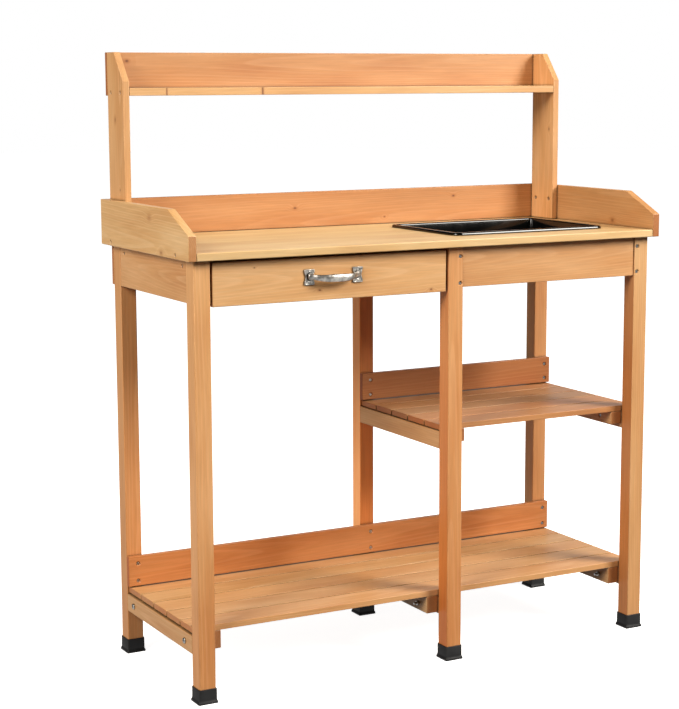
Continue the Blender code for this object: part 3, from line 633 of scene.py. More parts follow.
sink_low, sink_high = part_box("sink_basin")
panel = round_edges(box_mesh(top_low, top_high), 2.0 * MM)
stave_width = (top_high.y - top_low.y) / STAVES
stave_lines = [top_low.y + stave_width * number for number in range(1, STAVES)]
for line in stave_lines:
    bmesh.ops.bisect_plane(panel, geom=panel.verts[:] + panel.edges[:] + panel.faces[:],
                           dist=0.01 * MM, plane_co=(0, line, 0), plane_no=(0, 1, 0))
inset = Vector((SINK_CUT_INSET, SINK_CUT_INSET, 0))
opening = rounded_block(Vector((sink_low.x, sink_low.y, top_low.z - 0.01)) + inset,
                        Vector((sink_high.x, sink_high.y, top_high.z + 0.01)) - inset,
                        SINK_CORNER - SINK_CUT_INSET)
panel = carve(panel, [opening])
tabletop = add_piece("tabletop_stained", panel, FIR, "bench", "stained_fir", "tabletop")
# The top is paler and yellower than the other boards: partly painted light, for the strong light and
# sheen it takes from above.
lay_grain(tabletop, "tabletop", tone=1.12, warmth=-1.35, lean=0.012, heart=70 * MM,
          stave_lines=stave_lines)
print("tabletop faces:", len(tabletop.data.polygons))

# %% [markdown]
# ## Side boards, backsplash and rack
#
# The side boards and the rack's posts have a corner sawn off. On a real board that is one saw
# cut, so here it is one too: a plane that bisects the box, with the waste removed and the sawn
# face filled, before the edges are eased.

# %% Sawn corners
SIDE_BOARD_NOSE = 49 * MM     # how far the slope drops at the front end
SIDE_BOARD_SLOPE = 107 * MM
POST_CUT_DROP = 65 * MM
POST_CUT_DEPTH = 51 * MM


def sawn_board(node, drop, depth):
    """A box with its top front corner sawn off, this far down and this far back."""
    low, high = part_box(node)
    bm = box_mesh(low, high)
    start = Vector((low.x, low.y, high.z - drop))
    outwards = Vector((0, -drop, depth)).normalized()
    cut = bmesh.ops.bisect_plane(bm, geom=bm.verts[:] + bm.edges[:] + bm.faces[:],
                                 dist=0.01 * MM, plane_co=start, plane_no=outwards,
                                 clear_outer=True)
    rim = [item for item in cut["geom_cut"] if isinstance(item, bmesh.types.BMEdge)]
    bmesh.ops.contextual_create(bm, geom=rim)
    bmesh.ops.recalc_face_normals(bm, faces=bm.faces)
    return bm


def bench_y(value):
    """A place behind the front face of the legs, in the bench's own coordinates."""
    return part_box("leg_front_left")[0].y + value * MM


def bench_x(value):
    """A place to the right of the left legs' outer face."""
    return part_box("leg_front_left")[0].x + value * MM


SIDE_BOARDS = (
    ("side_board_left", 1.12, -0.8, [(bench_y(187), 1026 * MM, 6 * MM, 0.8),
                                     (bench_y(125), 956 * MM, 5 * MM, 0.6)]),
    ("side_board_right", 0.86, 0.2, [(bench_y(139), 977 * MM, 6 * MM, 0.5)]))
for node, tone, warmth, knots in SIDE_BOARDS:
    fir_board(node, 1.5 * MM, shape=sawn_board(node, SIDE_BOARD_NOSE, SIDE_BOARD_SLOPE),
              tone=tone, warmth=warmth, along=Y, knots=knots)
fir_board("backsplash", tone=0.84, warmth=0.55,
          knots=[(bench_x(469), 1012 * MM, 3.5 * MM), (bench_x(715), 982 * MM, 2 * MM),
                 (bench_x(913), 1027 * MM, 3.5 * MM)])
# A post's left face is painted a little lighter: painted light.
POSTS = (
    ("rack_post_left", (0.06, 0.1), [(1228 * MM, bench_y(418), 5 * MM, 0.6),
                                     (1073 * MM, bench_y(397), 2 * MM)]),
    ("rack_post_right", (0.18, 0.0), [(1190 * MM, bench_y(387), 3 * MM, 0.5)]))
for node, left_face, knots in POSTS:
    fir_board(node, 1.5 * MM, shape=sawn_board(node, POST_CUT_DROP, POST_CUT_DEPTH),
              along=Z, knots=knots, left_face=left_face)
shelf_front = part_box("rack_shelf")[0].y
fir_board("rack_shelf", tone=1.04, warmth=-0.2,
          knots=[(bench_x(342), shelf_front, 2 * MM, 0.3), (bench_x(105), shelf_front, 1.3 * MM, 0.4)])
fir_board("rack_back_board", tone=0.79, warmth=0.45, knots=[(bench_x(48), 1358 * MM, 4 * MM)])
print("back rack done")

# %% [markdown]
# ## Aprons, rails and bearers
#
# These are plain boards, and they differ in how they were sawn and how much stain they took; the
# two back boards of the shelves are also painted darker and warmer, painted shade.
# The four bolts through the lower rails need round holes, so that the bolts lie in air and not in
# wood.

# %% Frame boards
def hole_cutter(node, y, z, radius=3.4 * MM):
    """A round tool along X through a node."""
    low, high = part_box(node)
    place = Matrix.Translation(((low.x + high.x) / 2, y, z)) @ Matrix.Rotation(QUARTER, 4, "Y")
    return cone_mesh(radius, radius, high.x - low.x + 4 * MM, place)


bolt_rows = [middle_of(f"lower_bolt_{row}_left", Y) for row in ("front", "back")]
bolt_height = middle_of("lower_bolt_front_left", Z)
for node, tone, warmth in (("apron_left", 1.0, 0.3), ("apron_middle", 0.95, 0.3),
                           ("apron_right", 0.95, 0.2), ("apron_back", 0.95, 0.3),
                           ("apron_front_right", 0.98, 0.1)):
    fir_board(node, tone=tone, warmth=warmth, lean=0.035)
for column in ("left", "middle", "right"):
    for kind, tone in (("rail", 0.96), ("bearer", 0.9)):
        node = f"lower_{kind}_{column}"
        fir_board(node, 1.5 * MM, [hole_cutter(node, y, bolt_height) for y in bolt_rows],
                  tone=tone, along=Y)
for column in ("middle", "right"):
    for kind, tone in (("rail", 0.93), ("bearer", 0.9)):
        fir_board(f"mid_{kind}_{column}", 1.5 * MM, tone=tone, warmth=0.15, along=Y)
# Both back boards stand deep under the top and shelves: their darker, warmer tone is painted shade.
fir_board("lower_back_board", tone=0.87, warmth=1.5)
fir_board("mid_back_board", tone=0.66, warmth=1.8)
print("frame boards done")

# %% [markdown]
# ## Slats
#
# Ten thin slats with drained gaps between them. Each is a different board, so each takes its own
# seed; that small change of shade from slat to slat is what makes a slatted shelf read as one.

# %% Slats
# The middle shelf's slats are darker and warmer: partly painted shade.
for shelf, tone, warmth in (("lower", 1.04, 0.0), ("mid", 0.84, 0.7)):
    for number in range(1, 6):
        shade = random.Random(f"{shelf} slat {number}").uniform(-0.05, 0.05)
        fir_board(f"{shelf}_slat_{number}", 0.8 * MM, tone=tone + shade, warmth=warmth, lean=0.02)
print("slats: 10")

# %% [markdown]
# ## The drawer and its runners
#
# The drawer is a box of thin boards with a plywood bottom held in grooves. The runners are L-shaped
# lengths screwed to the aprons: the foot carries the drawer and the upright keeps it straight.

# %% Drawer and runners
bottom_low, bottom_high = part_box("drawer_bottom")
PLAY = Vector((GAP, GAP, GAP))


def groove():
    return box_mesh(bottom_low - PLAY, bottom_high + PLAY + Vector((0, 20 * MM, 0)))


fir_board("drawer_front", 1.6 * MM, [groove()], tone=1.07, warmth=-0.3, lean=0.04,
          knots=[(bench_x(294), 871 * MM, 2.5 * MM), (bench_x(140), 927 * MM, 1.5 * MM),
                 (bench_x(571), 857 * MM, 2.5 * MM)])
for side_name in ("left", "right"):
    fir_board(f"drawer_side_{side_name}", cutters=[groove()], tone=1.05, warmth=-0.3, along=Y)
fir_board("drawer_back", tone=1.05, warmth=-0.3)

RUNNER_LEDGE = 12 * MM
for side_name, outer in (("left", "drawer_side_left"), ("right", "drawer_side_right")):
    node = f"drawer_runner_{side_name}"
    low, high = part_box(node)
    side_low, side_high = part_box(outer)
    notch_low = Vector((side_low.x - 0.5 * MM, low.y - 0.01, low.z + RUNNER_LEDGE))
    notch_high = Vector((high.x + 0.01, high.y + 0.01, high.z + 0.01))
    if side_name == "right":
        notch_low.x = low.x - 0.01
        notch_high.x = side_high.x + 0.5 * MM
    fir_board(node, 1.0 * MM, shape=carve(box_mesh(low, high), [box_mesh(notch_low, notch_high)]),
              tone=0.98, along=Y)
print("drawer boards done")

# %% [markdown]
# ### The plywood bottom
#
# Rotary-cut veneer shows wide wild figure and, at its edges, thin plies. The bottom is only seen
# with the drawer open, so the face gets soft, broad bands and a fine pore pattern, and the edge
# gets stripes by height.

# %% Plywood
PLY_THICKNESS = 1.3 * MM


def plywood_material():
    tree, shader, made = new_material("plywood_sanded_and_unfinished", Roughness=0.62, IOR=1.47)
    place = add(tree, "TexCoord").outputs["Object"]
    long_way = add(tree, "Mapping", {"Vector": place, "Scale": (1.2, 5.0, 5.0)})
    bands = add(tree, "TexNoise", {"Vector": long_way, "Scale": 2.0, "Detail": 3.0,
                                   "Distortion": 1.2})
    wild = add(tree, "Math", {0: add(tree, "Math", {0: bands.outputs["Fac"], 1: 14.0},
                                     operation="MULTIPLY")}, operation="SINE")
    face = add(tree, "ValToRGB", {0: add(tree, "MapRange", {"Value": wild, "From Min": -1.0,
                                                            "From Max": 1.0})},
               stops=[(0.0, "d8b88a"), (0.6, "e0c498"), (1.0, "c9a271")])
    height = add(tree, "SeparateXYZ", {0: place}).outputs["Z"]
    ply = add(tree, "Math", {0: add(tree, "Math", {0: height, 1: PLY_THICKNESS},
                                    operation="DIVIDE")}, operation="PINGPONG")
    ply.inputs[1].default_value = 1.0
    upright = add(tree, "SeparateXYZ", {0: add(tree, "NewGeometry").outputs["Normal"]}).outputs["Z"]
    flat = add(tree, "Math", {0: upright}, operation="ABSOLUTE")
    edge = add(tree, "MixRGB", {"Fac": ply, "Color1": linear("b98b58"), "Color2": linear("dcbd8e")})
    colour = add(tree, "MixRGB", {"Fac": flat, "Color1": edge, "Color2": face})
    pores = add(tree, "TexNoise", {"Vector": add(tree, "Mapping", {"Vector": place,
                                                                   "Scale": (60, 900, 900)}),
                                   "Scale": 1.0, "Detail": 2.0})
    bump = add(tree, "Bump", {"Strength": 0.3, "Distance": 0.1 * MM, "Height": pores.outputs["Fac"]})
    wire(tree, shader, Base_Color=colour, Normal=bump)
    return made


PLYWOOD = plywood_material()
sheet = round_edges(box_mesh(bottom_low, bottom_high), 0.3 * MM, 2)
add_piece("drawer_bottom_plywood", sheet, PLYWOOD, "drawer", "plywood", "drawer_bottom")
print("plywood bottom done")

# %% [markdown]
# ## Zinc-plated steel
#
# Screws and bolts are bright zinc over steel: a cool, slightly bluish grey with a soft uneven
# sheen, because the plating is thin and tumbled in a barrel. Ambient occlusion darkens the
# hollows: painted shade.

# %% Zinc plating
def zinc_material():
    tree, shader, made = new_material("steel_turned_and_zinc_plated", Metallic=1.0, Roughness=0.28)
    place = add(tree, "TexCoord").outputs["Object"]
    tumbled = add(tree, "TexNoise", {"Vector": place, "Scale": 1 / (2.5 * MM), "Detail": 3.0})
    shade = add(tree, "ValToRGB", {0: tumbled.outputs["Fac"]},
                stops=[(0.3, "a9a8a4"), (0.55, "cfcdc8"), (0.75, "dddad2")])
    # Ambient occlusion darkens the hollows towards 4a4844: painted shade.
    hollow = add(tree, "AmbientOcclusion", {"Distance": 2.5 * MM}, samples=8)
    dark = add(tree, "MapRange", {"Value": hollow.outputs["AO"], "From Min": 0.35,
                                  "From Max": 0.9, "To Min": 0.25, "To Max": 1.0})
    colour = add(tree, "MixRGB", {"Fac": dark, "Color1": linear("4a4844"), "Color2": shade})
    worn = add(tree, "MapRange", {"Value": tumbled.outputs["Fac"], "To Min": 0.2, "To Max": 0.42})
    wire(tree, shader, Base_Color=colour, Roughness=worn)
    return made


ZINC = zinc_material()


# %% Screw heads
def cross_cutters(radius, depth, top, width):
    """Two crossed bars, sunk this deep below the top."""
    low, high = top - depth, top + 2 * MM
    return [box_mesh((-radius, -width / 2, low), (radius, width / 2, high)),
            box_mesh((-width / 2, -radius, low), (width / 2, radius, high))]


def screw_head():
    """A countersunk head looking up Z, sunk under z = 0, as a closed mesh."""
    depth = 2.4 * MM
    bm = cone_mesh(1.5 * MM, HEAD_RADIUS, depth, Matrix.Translation((0, 0, -HEAD_SUNK - depth / 2)))
    round_edges(bm, 0.25 * MM, 2, sharper_than=30)
    return carve(bm, cross_cutters(2.3 * MM, 1.4 * MM, -HEAD_SUNK, 1.1 * MM))


head_mesh = as_mesh("screw_head", screw_head())


def add_screws(name, body, nodes):
    """All the screw heads of some boards as one piece."""
    chance = random.Random(name)
    gathered = bmesh.new()
    for node in nodes:
        for point, direction in screws.get(node, ()):
            turn = Matrix.Rotation(chance.uniform(0, QUARTER), 4, "Z")
            add_copy(gathered, head_mesh, Matrix.Translation(point) @ turned_to(direction) @ turn)
    return add_piece(name, gathered, ZINC, body, "zinc_plated_steel")


SCREW_GROUPS = {
    "side_board_screws": ("side_board_left", "side_board_right"),
    "apron_screws": ("apron_left", "apron_right", "apron_back"),
    "front_leg_screws": ("leg_front_middle", "leg_front_right"),
    "rack_screws": ("rack_post_left", "rack_post_right", "rack_back_board", "backsplash"),
    "shelf_back_screws": ("lower_back_board", "mid_back_board"),
    "bearer_screws": tuple(node for node in screws if "bearer" in node)}
for name, nodes in SCREW_GROUPS.items():
    add_screws(name, "bench", nodes)
print("screw groups:", len(SCREW_GROUPS))

# %% [markdown]
# ## Bolts
#
# Six machine bolts clamp the lower bearers to their rails: a low round head with a cross on the
# outside, a hexagon nut and a few turns of thread inside. A bolt is turned on a lathe, so it is
# modelled by spinning its profile about its axis. The thread is drawn as plain rings, because its
# one-millimetre climb can't be told from rings at this size.

# %% Bolts
BOLT_RADIUS = 3 * MM
HEAD_HEIGHT = 3.6 * MM
HEAD_WIDE = 6.5 * MM
NUT_ACROSS = 10 * MM
NUT_HEIGHT = 5 * MM
THREAD_PITCH = 1 * MM
THREAD_TIP = 7 * MM


def turned(profile, steps=28):
    """A closed shape spun about Z from (radius, height) points that start and end on the axis."""
    bm = bmesh.new()
    points = [bm.verts.new((radius, 0, height)) for radius, height in profile]
    edges = [bm.edges.new(pair) for pair in zip(points, points[1:])]
    bmesh.ops.spin(bm, geom=points + edges, cent=(0, 0, 0), axis=(0, 0, 1), dvec=(0, 0, 0),
                   angle=math.tau, steps=steps, use_merge=True, use_duplicate=False)
    bmesh.ops.remove_doubles(bm, verts=bm.verts, dist=0.005 * MM)
    bmesh.ops.recalc_face_normals(bm, faces=bm.faces)
    for face in bm.faces:
        face.smooth = True
    return bm


def dome_profile(radius, foot, rise, steps):
    """The outline of a domed head, from its crown down to its widest ring."""
    angles = [QUARTER * step / steps for step in range(steps + 1)]
    return [(radius * math.sin(angle), foot + rise * math.cos(angle)) for angle in angles]


def bolt_mesh(grip):
    """A bolt down Z: its head above z = 0, then a shank this long, the nut and the thread."""
    dome = dome_profile(HEAD_WIDE, GAP + 0.35 * HEAD_HEIGHT, 0.65 * HEAD_HEIGHT, 6)
    shank = [(HEAD_WIDE, GAP), (BOLT_RADIUS, GAP), (BOLT_RADIUS, -grip)]
    thread = []
    turns = int((NUT_HEIGHT + THREAD_TIP) / THREAD_PITCH)
    for turn in range(turns):
        height = -grip - turn * THREAD_PITCH
        thread.append((BOLT_RADIUS - 0.5 * MM, height - 0.25 * THREAD_PITCH))
        thread.append((BOLT_RADIUS, height - 0.75 * THREAD_PITCH))
    end = -grip - turns * THREAD_PITCH
    tip = [(BOLT_RADIUS - 0.6 * MM, end), (0, end)]
    bolt = turned(dome + shank + thread + tip)
    return carve(bolt, cross_cutters(3.4 * MM, 2.0 * MM, GAP + HEAD_HEIGHT, 1.3 * MM))


def nut_mesh(grip):
    """A hexagon nut under the grip, with its corners turned off and its thread hole open."""
    wide = NUT_ACROSS / 2 / math.cos(math.radians(30))
    place = Matrix.Translation((0, 0, -grip - GAP - NUT_HEIGHT / 2))
    bm = cone_mesh(wide, wide, NUT_HEIGHT, place, segments=6)
    rims = [e for e in bm.edges if abs(e.verts[0].co.z - e.verts[1].co.z) < 0.1 * MM]
    bevel(bm, rims, 0.7 * MM, 2)
    bore = BOLT_RADIUS + 0.15 * MM
    return carve(bm, [cone_mesh(bore, bore, 3 * NUT_HEIGHT, place)])


def add_bolt(name, head_x, inner_x, y, *nodes):
    """A bolt and its nut through a rail and a bearer, from the head's face to the inner face."""
    outwards = Vector((1 if head_x > inner_x else -1, 0, 0))
    turn = Matrix.Rotation(random.Random(name).uniform(0, math.pi), 4, "Z")
    place = Matrix.Translation((head_x, y, bolt_height)) @ turned_to(outwards) @ turn
    grip = abs(head_x - inner_x)
    joined = bmesh.new()
    for part in (bolt_mesh(grip), nut_mesh(grip)):
        scrap = as_mesh("bolt_part", part)
        add_copy(joined, scrap, place)
        bpy.data.meshes.remove(scrap)
    return add_piece(name, joined, ZINC, "bench", "zinc_plated_steel", *nodes)


for column, head_side in (("left", LEFT), ("middle", RIGHT), ("right", RIGHT)):
    rail_low, rail_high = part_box(f"lower_rail_{column}")
    bearer_low, bearer_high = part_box(f"lower_bearer_{column}")
    head_x, inner_x = rail_high.x, bearer_low.x
    if head_side == LEFT:
        head_x, inner_x = rail_low.x, bearer_high.x
    for row, y in zip(("front", "back"), bolt_rows):
        packed = [] if column == "middle" else [f"lower_bolt_{row}_{column}"]
        add_bolt(f"lower_bolt_{row}_{column}_plated", head_x, inner_x, y, *packed)
print("bolts: 6")

# %% [markdown]
# ## Foot caps
#
# Black plastic cups keep the legs' end grain off wet ground. They are injection moulded: a thin
# wall, a lip that flares at the floor so the cap doesn't tip, and every edge slightly round. The
# outside is drawn up from the floor as a square that narrows, and the wall folds over the top and
# down inside, all by extruding one face and scaling it.

# %% Moulded black plastic
def moulded_material(name, roughness, tint, grit, relief):
    """Black plastic that copies its mould: a spark-eroded grain of this size on a deep black."""
    tree, shader, made = new_material(name, Roughness=roughness, IOR=1.49)
    place = add(tree, "TexCoord").outputs["Object"]
    eroded = add(tree, "TexNoise", {"Vector": place, "Scale": 1 / grit, "Detail": 2.0})
    flow = add(tree, "TexNoise", {"Vector": place, "Scale": 1 / (40 * MM), "Detail": 2.0})
    colour = add(tree, "ValToRGB", {0: flow.outputs["Fac"]},
                 stops=[(0.3, tint[0]), (0.7, tint[1])])
    uneven = add(tree, "MapRange", {"Value": flow.outputs["Fac"], "From Min": 0.3, "From Max": 0.7,
                                    "To Min": 0.85 * roughness, "To Max": 1.15 * roughness})
    bump = add(tree, "Bump", {"Strength": relief, "Distance": 0.08 * MM,
                              "Height": eroded.outputs["Fac"]})
    wire(tree, shader, Base_Color=colour, Roughness=uneven, Normal=bump)
    return made


CAP_PLASTIC = moulded_material("polypropylene_moulded_with_eroded_grain", 0.5,
                               ("0f0f10", "181819"), 1.2 * MM, 0.2)
SINK_PLASTIC = moulded_material("polystyrene_vacuum_formed_gloss", 0.1,
                                 ("060606", "0b0b0a"), 2.5 * MM, 0.03)

# %% Foot caps
CAP_WALL = 1.4 * MM
CAP_FLOOR = 3 * MM
CAP_LIP = 8 * MM


def foot_cap(node, leg):
    low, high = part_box(node)
    leg_low, leg_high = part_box(leg)
    centre = (low + high) / 2
    lip = high.x - low.x
    inside = leg_high.x - leg_low.x + 2 * GAP
    outside = inside + 2 * CAP_WALL
    bm = bmesh.new()
    bmesh.ops.create_grid(bm, x_segments=1, y_segments=1, size=0.5)
    bmesh.ops.scale(bm, vec=(lip, lip, 1), verts=bm.verts)
    bevel(bm, bm.verts[:], 2.2 * MM, 4, affect="VERTICES")
    face = bm.faces[:][0]
    flare = [(lip, 0.3 * CAP_LIP), (lip - 0.6 * MM, 0.55 * CAP_LIP),
             (outside + 0.6 * MM, 0.85 * CAP_LIP), (outside, CAP_LIP + 1 * MM)]
    brim = [(outside, high.z - 0.8 * MM), (outside - 0.4 * MM, high.z - 0.2 * MM),
            (outside - 1.0 * MM, high.z), (inside + 0.6 * MM, high.z), (inside, high.z - 0.5 * MM)]
    width, height = lip, 0.0
    for next_width, next_height in flare + brim + [(inside, CAP_FLOOR)]:
        grown = bmesh.ops.extrude_discrete_faces(bm, faces=[face])
        face = grown["faces"][0]
        ratio = next_width / width
        bmesh.ops.translate(bm, vec=(0, 0, next_height - height), verts=face.verts)
        bmesh.ops.scale(bm, vec=(ratio, ratio, 1), verts=face.verts)
        width, height = next_width, next_height
    bottom_ring = [e for e in bm.edges if len(e.link_faces) == 1]
    bmesh.ops.contextual_create(bm, geom=bottom_ring)
    bmesh.ops.recalc_face_normals(bm, faces=bm.faces)
    for side_face in bm.faces:
        side_face.smooth = abs(side_face.normal.z) < 0.95
    bmesh.ops.translate(bm, vec=(centre.x, centre.y, low.z), verts=bm.verts)
    return add_piece(f"{node}_moulded", bm, CAP_PLASTIC, "bench", "cap_plastic", node)


for row in ("front", "back"):
    for column in ("left", "middle", "right"):
        foot_cap(f"foot_cap_{row}_{column}", f"leg_{row}_{column}")
print("foot caps: 6")

# %% [markdown]
# ## The sink
#
# The basin is vacuum formed from one sheet, so it is one skin of even thickness with soft corners.
# It starts as a flat rounded rectangle. Insetting that face again and again, with a change of
# height each time, rolls the rim over with its corners kept concentric. The face is then extruded
# and scaled level by level, which drops the walls at a small draft and turns them into the floor.
# The skin is thickened last.

# %% Sink basin
RIM_WIDTH = 13 * MM
RIM_HEIGHT = sink_high.z - top_high.z
RIM_ROUND = 4 * MM
WALL_LEAN = 7 * MM
FLOOR_ROUND = 14 * MM
SKIN = 2.5 * MM


def arc_points(steps, until=QUARTER):
    """Pairs of (1 - cos, sin) along an arc: how far in and how far up it has gone."""
    for step in range(1, steps + 1):
        angle = until * step / steps
        yield 1 - math.cos(angle), math.sin(angle)


def sink_shell():
    width = sink_high.x - sink_low.x
    depth = sink_high.y - sink_low.y
    floor_level = sink_low.z - top_high.z + SKIN
    bm = bmesh.new()
    bmesh.ops.create_grid(bm, x_segments=1, y_segments=1, size=0.5)
    bmesh.ops.scale(bm, vec=(width, depth, 1), verts=bm.verts)
    bevel(bm, bm.verts[:], SINK_CORNER, 10, affect="VERTICES")
    bmesh.ops.translate(bm, vec=(0, 0, GAP), verts=bm.verts)
    face = bm.faces[:][0]

    rim = [(RIM_ROUND * inwards, GAP + (RIM_HEIGHT - GAP) * upwards)
           for inwards, upwards in arc_points(5)]
    rim += [(RIM_WIDTH - RIM_ROUND + RIM_ROUND * upwards, RIM_HEIGHT - RIM_ROUND * inwards)
            for inwards, upwards in arc_points(5, math.radians(80))]
    inset, level = 0.0, GAP
    for next_inset, next_level in rim:
        bmesh.ops.inset_individual(bm, faces=[face], thickness=next_inset - inset,
                                   depth=next_level - level, use_even_offset=True)
        inset, level = next_inset, next_level

    foot = inset + WALL_LEAN
    drop = level - floor_level - FLOOR_ROUND
    walls = [(inset + WALL_LEAN * share, level - drop * share) for share in (0.33, 0.67, 1.0)]
    walls += [(foot + FLOOR_ROUND * inwards, floor_level + FLOOR_ROUND * (1 - upwards))
              for inwards, upwards in arc_points(6)]
    for next_inset, next_level in walls:
        face = bmesh.ops.extrude_discrete_faces(bm, faces=[face])["faces"][0]
        shrink = ((width - 2 * next_inset) / (width - 2 * inset),
                  (depth - 2 * next_inset) / (depth - 2 * inset), 1)
        bmesh.ops.scale(bm, vec=shrink, verts=face.verts)
        bmesh.ops.translate(bm, vec=(0, 0, next_level - level), verts=face.verts)
        inset, level = next_inset, next_level

    bmesh.ops.recalc_face_normals(bm, faces=bm.faces)
    if face.normal.z < 0:
        bmesh.ops.reverse_faces(bm, faces=bm.faces)
    for part in bm.faces:
        part.smooth = part is not face
    bmesh.ops.solidify(bm, geom=bm.faces[:], thickness=SKIN)
    bmesh.ops.translate(bm, vec=((sink_low.x + sink_high.x) / 2, (sink_low.y + sink_high.y) / 2,
                                 top_high.z), verts=bm.verts)
    return bm


basin = add_piece("sink_basin_formed", sink_shell(), SINK_PLASTIC, "sink", "sink_plastic",
                  "sink_basin")
heights = [vertex.co.z for vertex in basin.data.vertices]
print("sink heights:", round(min(heights), 4), round(max(heights), 4),
      "packed:", round(sink_low.z, 4), round(sink_high.z, 4))

# %% [markdown]
# ## The handle
#
# A cast zinc pull with an aged finish: two waisted plates with a raised flat rim, and a bowed grip
# that swells in the middle and hangs a little. The casting is bright where hands and the polishing
# wheel reach and dark in the hollows. The grip is drawn by extruding a ring of points from station
# to station, each one turned to the path, scaled and moved. The plates are flat grids whose sides
# are pulled in before they get their thickness and their sunken middle.

# %% Aged zinc casting
def cast_zinc_material():
    tree, shader, made = new_material("zinc_cast_plated_and_aged", Metallic=1.0, Roughness=0.36)
    place = add(tree, "TexCoord").outputs["Object"]
    patches = add(tree, "TexNoise", {"Vector": place, "Scale": 1 / (9 * MM), "Detail": 4.0})
    metal = add(tree, "ValToRGB", {0: patches.outputs["Fac"]},
                stops=[(0.32, "8f8c86"), (0.5, "c2bfb9"), (0.68, "e4e0d8")])
    hollow = add(tree, "AmbientOcclusion", {"Distance": 6 * MM}, samples=8)
    age = add(tree, "MapRange", {"Value": hollow.outputs["AO"], "From Min": 0.4, "From Max": 0.9,
                                 "To Min": 0.1, "To Max": 1.0})
    colour = add(tree, "MixRGB", {"Fac": age, "Color1": linear("1f1d1a"), "Color2": metal})
    worn = add(tree, "MapRange", {"Value": patches.outputs["Fac"], "To Min": 0.28, "To Max": 0.5})
    sand = add(tree, "TexNoise", {"Vector": place, "Scale": 1 / (1.2 * MM), "Detail": 2.0})
    bump = add(tree, "Bump", {"Strength": 0.3, "Distance": 0.1 * MM, "Height": sand.outputs["Fac"]})
    wire(tree, shader, Base_Color=colour, Roughness=worn, Normal=bump)
    return made


CAST_ZINC = cast_zinc_material()

# %% Handle
PLATE_WIDTH = 24 * MM
PLATE_WAIST = 3 * MM
PLATE_BORDER = 2.2 * MM       # the raised flat rim round each plate
PLATE_STEP = 0.4 * MM         # the steep step down from it
PLATE_RECESS = 1.1 * MM
PLATE_THICKNESS = 3 * MM
GRIP_HALF_HEIGHT = 8.5 * MM
GRIP_END_HALF_HEIGHT = 5.5 * MM
GRIP_FLATNESS = 0.42
GRIP_STANDS_IN = 1.2 * MM     # where the grip starts, inside its plates
GRIP_SAG = 4 * MM             # its middle hangs this far below its ends
GRIP_LIFT = 1.5 * MM
GRIP_ROOT_SWELL = 2.5 * MM    # how much the grip thickens where it joins a plate
GRIP_SQUARENESS = 3.2         # two would be a plain bow; more holds it out flatter in the middle
handle_low, handle_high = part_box("drawer_handle")
handle_middle = (handle_low + handle_high) / 2
plate_reach = (handle_high.x - handle_low.x - PLATE_WIDTH) / 2


def plate_mesh(shift):
    """A waisted plate against the drawer front, with soft edges."""
    height = handle_high.z - handle_low.z
    bm = bmesh.new()
    bmesh.ops.create_grid(bm, x_segments=1, y_segments=12, size=0.5)
    for vertex in bm.verts:
        pull = math.cos(min(abs(vertex.co.y) * 2 / 0.62, 1) * math.pi / 2)
        half = PLATE_WIDTH / 2 - PLATE_WAIST * pull
        vertex.co = Vector((math.copysign(half, vertex.co.x), 0, vertex.co.y * height))
    grown = bmesh.ops.extrude_face_region(bm, geom=bm.faces[:])
    moved = [item for item in grown["geom"] if isinstance(item, bmesh.types.BMVert)]
    bmesh.ops.translate(bm, vec=(0, -PLATE_THICKNESS, 0), verts=moved)
    bmesh.ops.recalc_face_normals(bm, faces=bm.faces)
    front = [f for f in bm.faces if f.normal.y < -0.9]
    for thickness in (PLATE_BORDER, PLATE_STEP):
        bmesh.ops.inset_region(bm, faces=front, thickness=thickness, use_even_offset=True)
    sunk = {vertex for face in front for vertex in face.verts}
    bmesh.ops.translate(bm, vec=(0, PLATE_RECESS, 0), verts=list(sunk))
    front_rim = [e for e in bm.edges if e.calc_face_angle(0) > math.radians(60)
                 and all(v.co.y < -0.9 * PLATE_THICKNESS for v in e.verts)]
    for face in bevel(bm, front_rim, 0.6 * MM, 3)["faces"]:
        face.smooth = True
    bmesh.ops.translate(bm, vec=(shift, 0, 0), verts=bm.verts)
    return bm


def grip_mesh():
    """The bowed grip, closed at both ends inside the plates."""
    reach = handle_high.y - handle_low.y - GRIP_HALF_HEIGHT * GRIP_FLATNESS - GRIP_STANDS_IN
    stations = 40
    bm = bmesh.new()
    ring = bmesh.ops.create_circle(bm, cap_ends=True, segments=24, radius=1.0)["verts"]
    ring_edges = [e for e in bm.edges if all(v in ring for v in e.verts)]
    before = None
    for number in range(stations + 1):
        t = -1 + 2 * number / stations
        swell = math.cos(t * math.pi / 2) ** 1.3
        root = max(0.0, (abs(t) - 0.86) / 0.14) ** 2
        half = (GRIP_END_HALF_HEIGHT + (GRIP_HALF_HEIGHT - GRIP_END_HALF_HEIGHT) * swell
                + GRIP_ROOT_SWELL * root)
        flat = GRIP_FLATNESS + 0.5 * root
        bow = 1 - abs(t) ** GRIP_SQUARENESS
        slope = -reach * GRIP_SQUARENESS * math.copysign(abs(t) ** (GRIP_SQUARENESS - 1), t) / plate_reach
        turn = Matrix.Rotation(-math.atan(slope), 4, "Z")
        shape = Matrix.Diagonal((1, half * flat, half, 1))
        upright = Matrix.Rotation(QUARTER, 4, "Y")
        path = (t * plate_reach, -reach * bow - GRIP_STANDS_IN, GRIP_LIFT - GRIP_SAG * bow)
        place = Matrix.Translation(path) @ turn @ shape @ upright
        if before is None:
            bmesh.ops.transform(bm, matrix=place, verts=ring)
        else:
            grown = bmesh.ops.extrude_edge_only(bm, edges=ring_edges)["geom"]
            ring = [item for item in grown if isinstance(item, bmesh.types.BMVert)]
            ring_edges = [item for item in grown if isinstance(item, bmesh.types.BMEdge)]
            bmesh.ops.transform(bm, matrix=place @ before.inverted(), verts=ring)
        before = place
    bmesh.ops.contextual_create(bm, geom=ring_edges)
    bmesh.ops.recalc_face_normals(bm, faces=bm.faces)
    for face in bm.faces:
        face.smooth = len(face.verts) == 4
    return bm


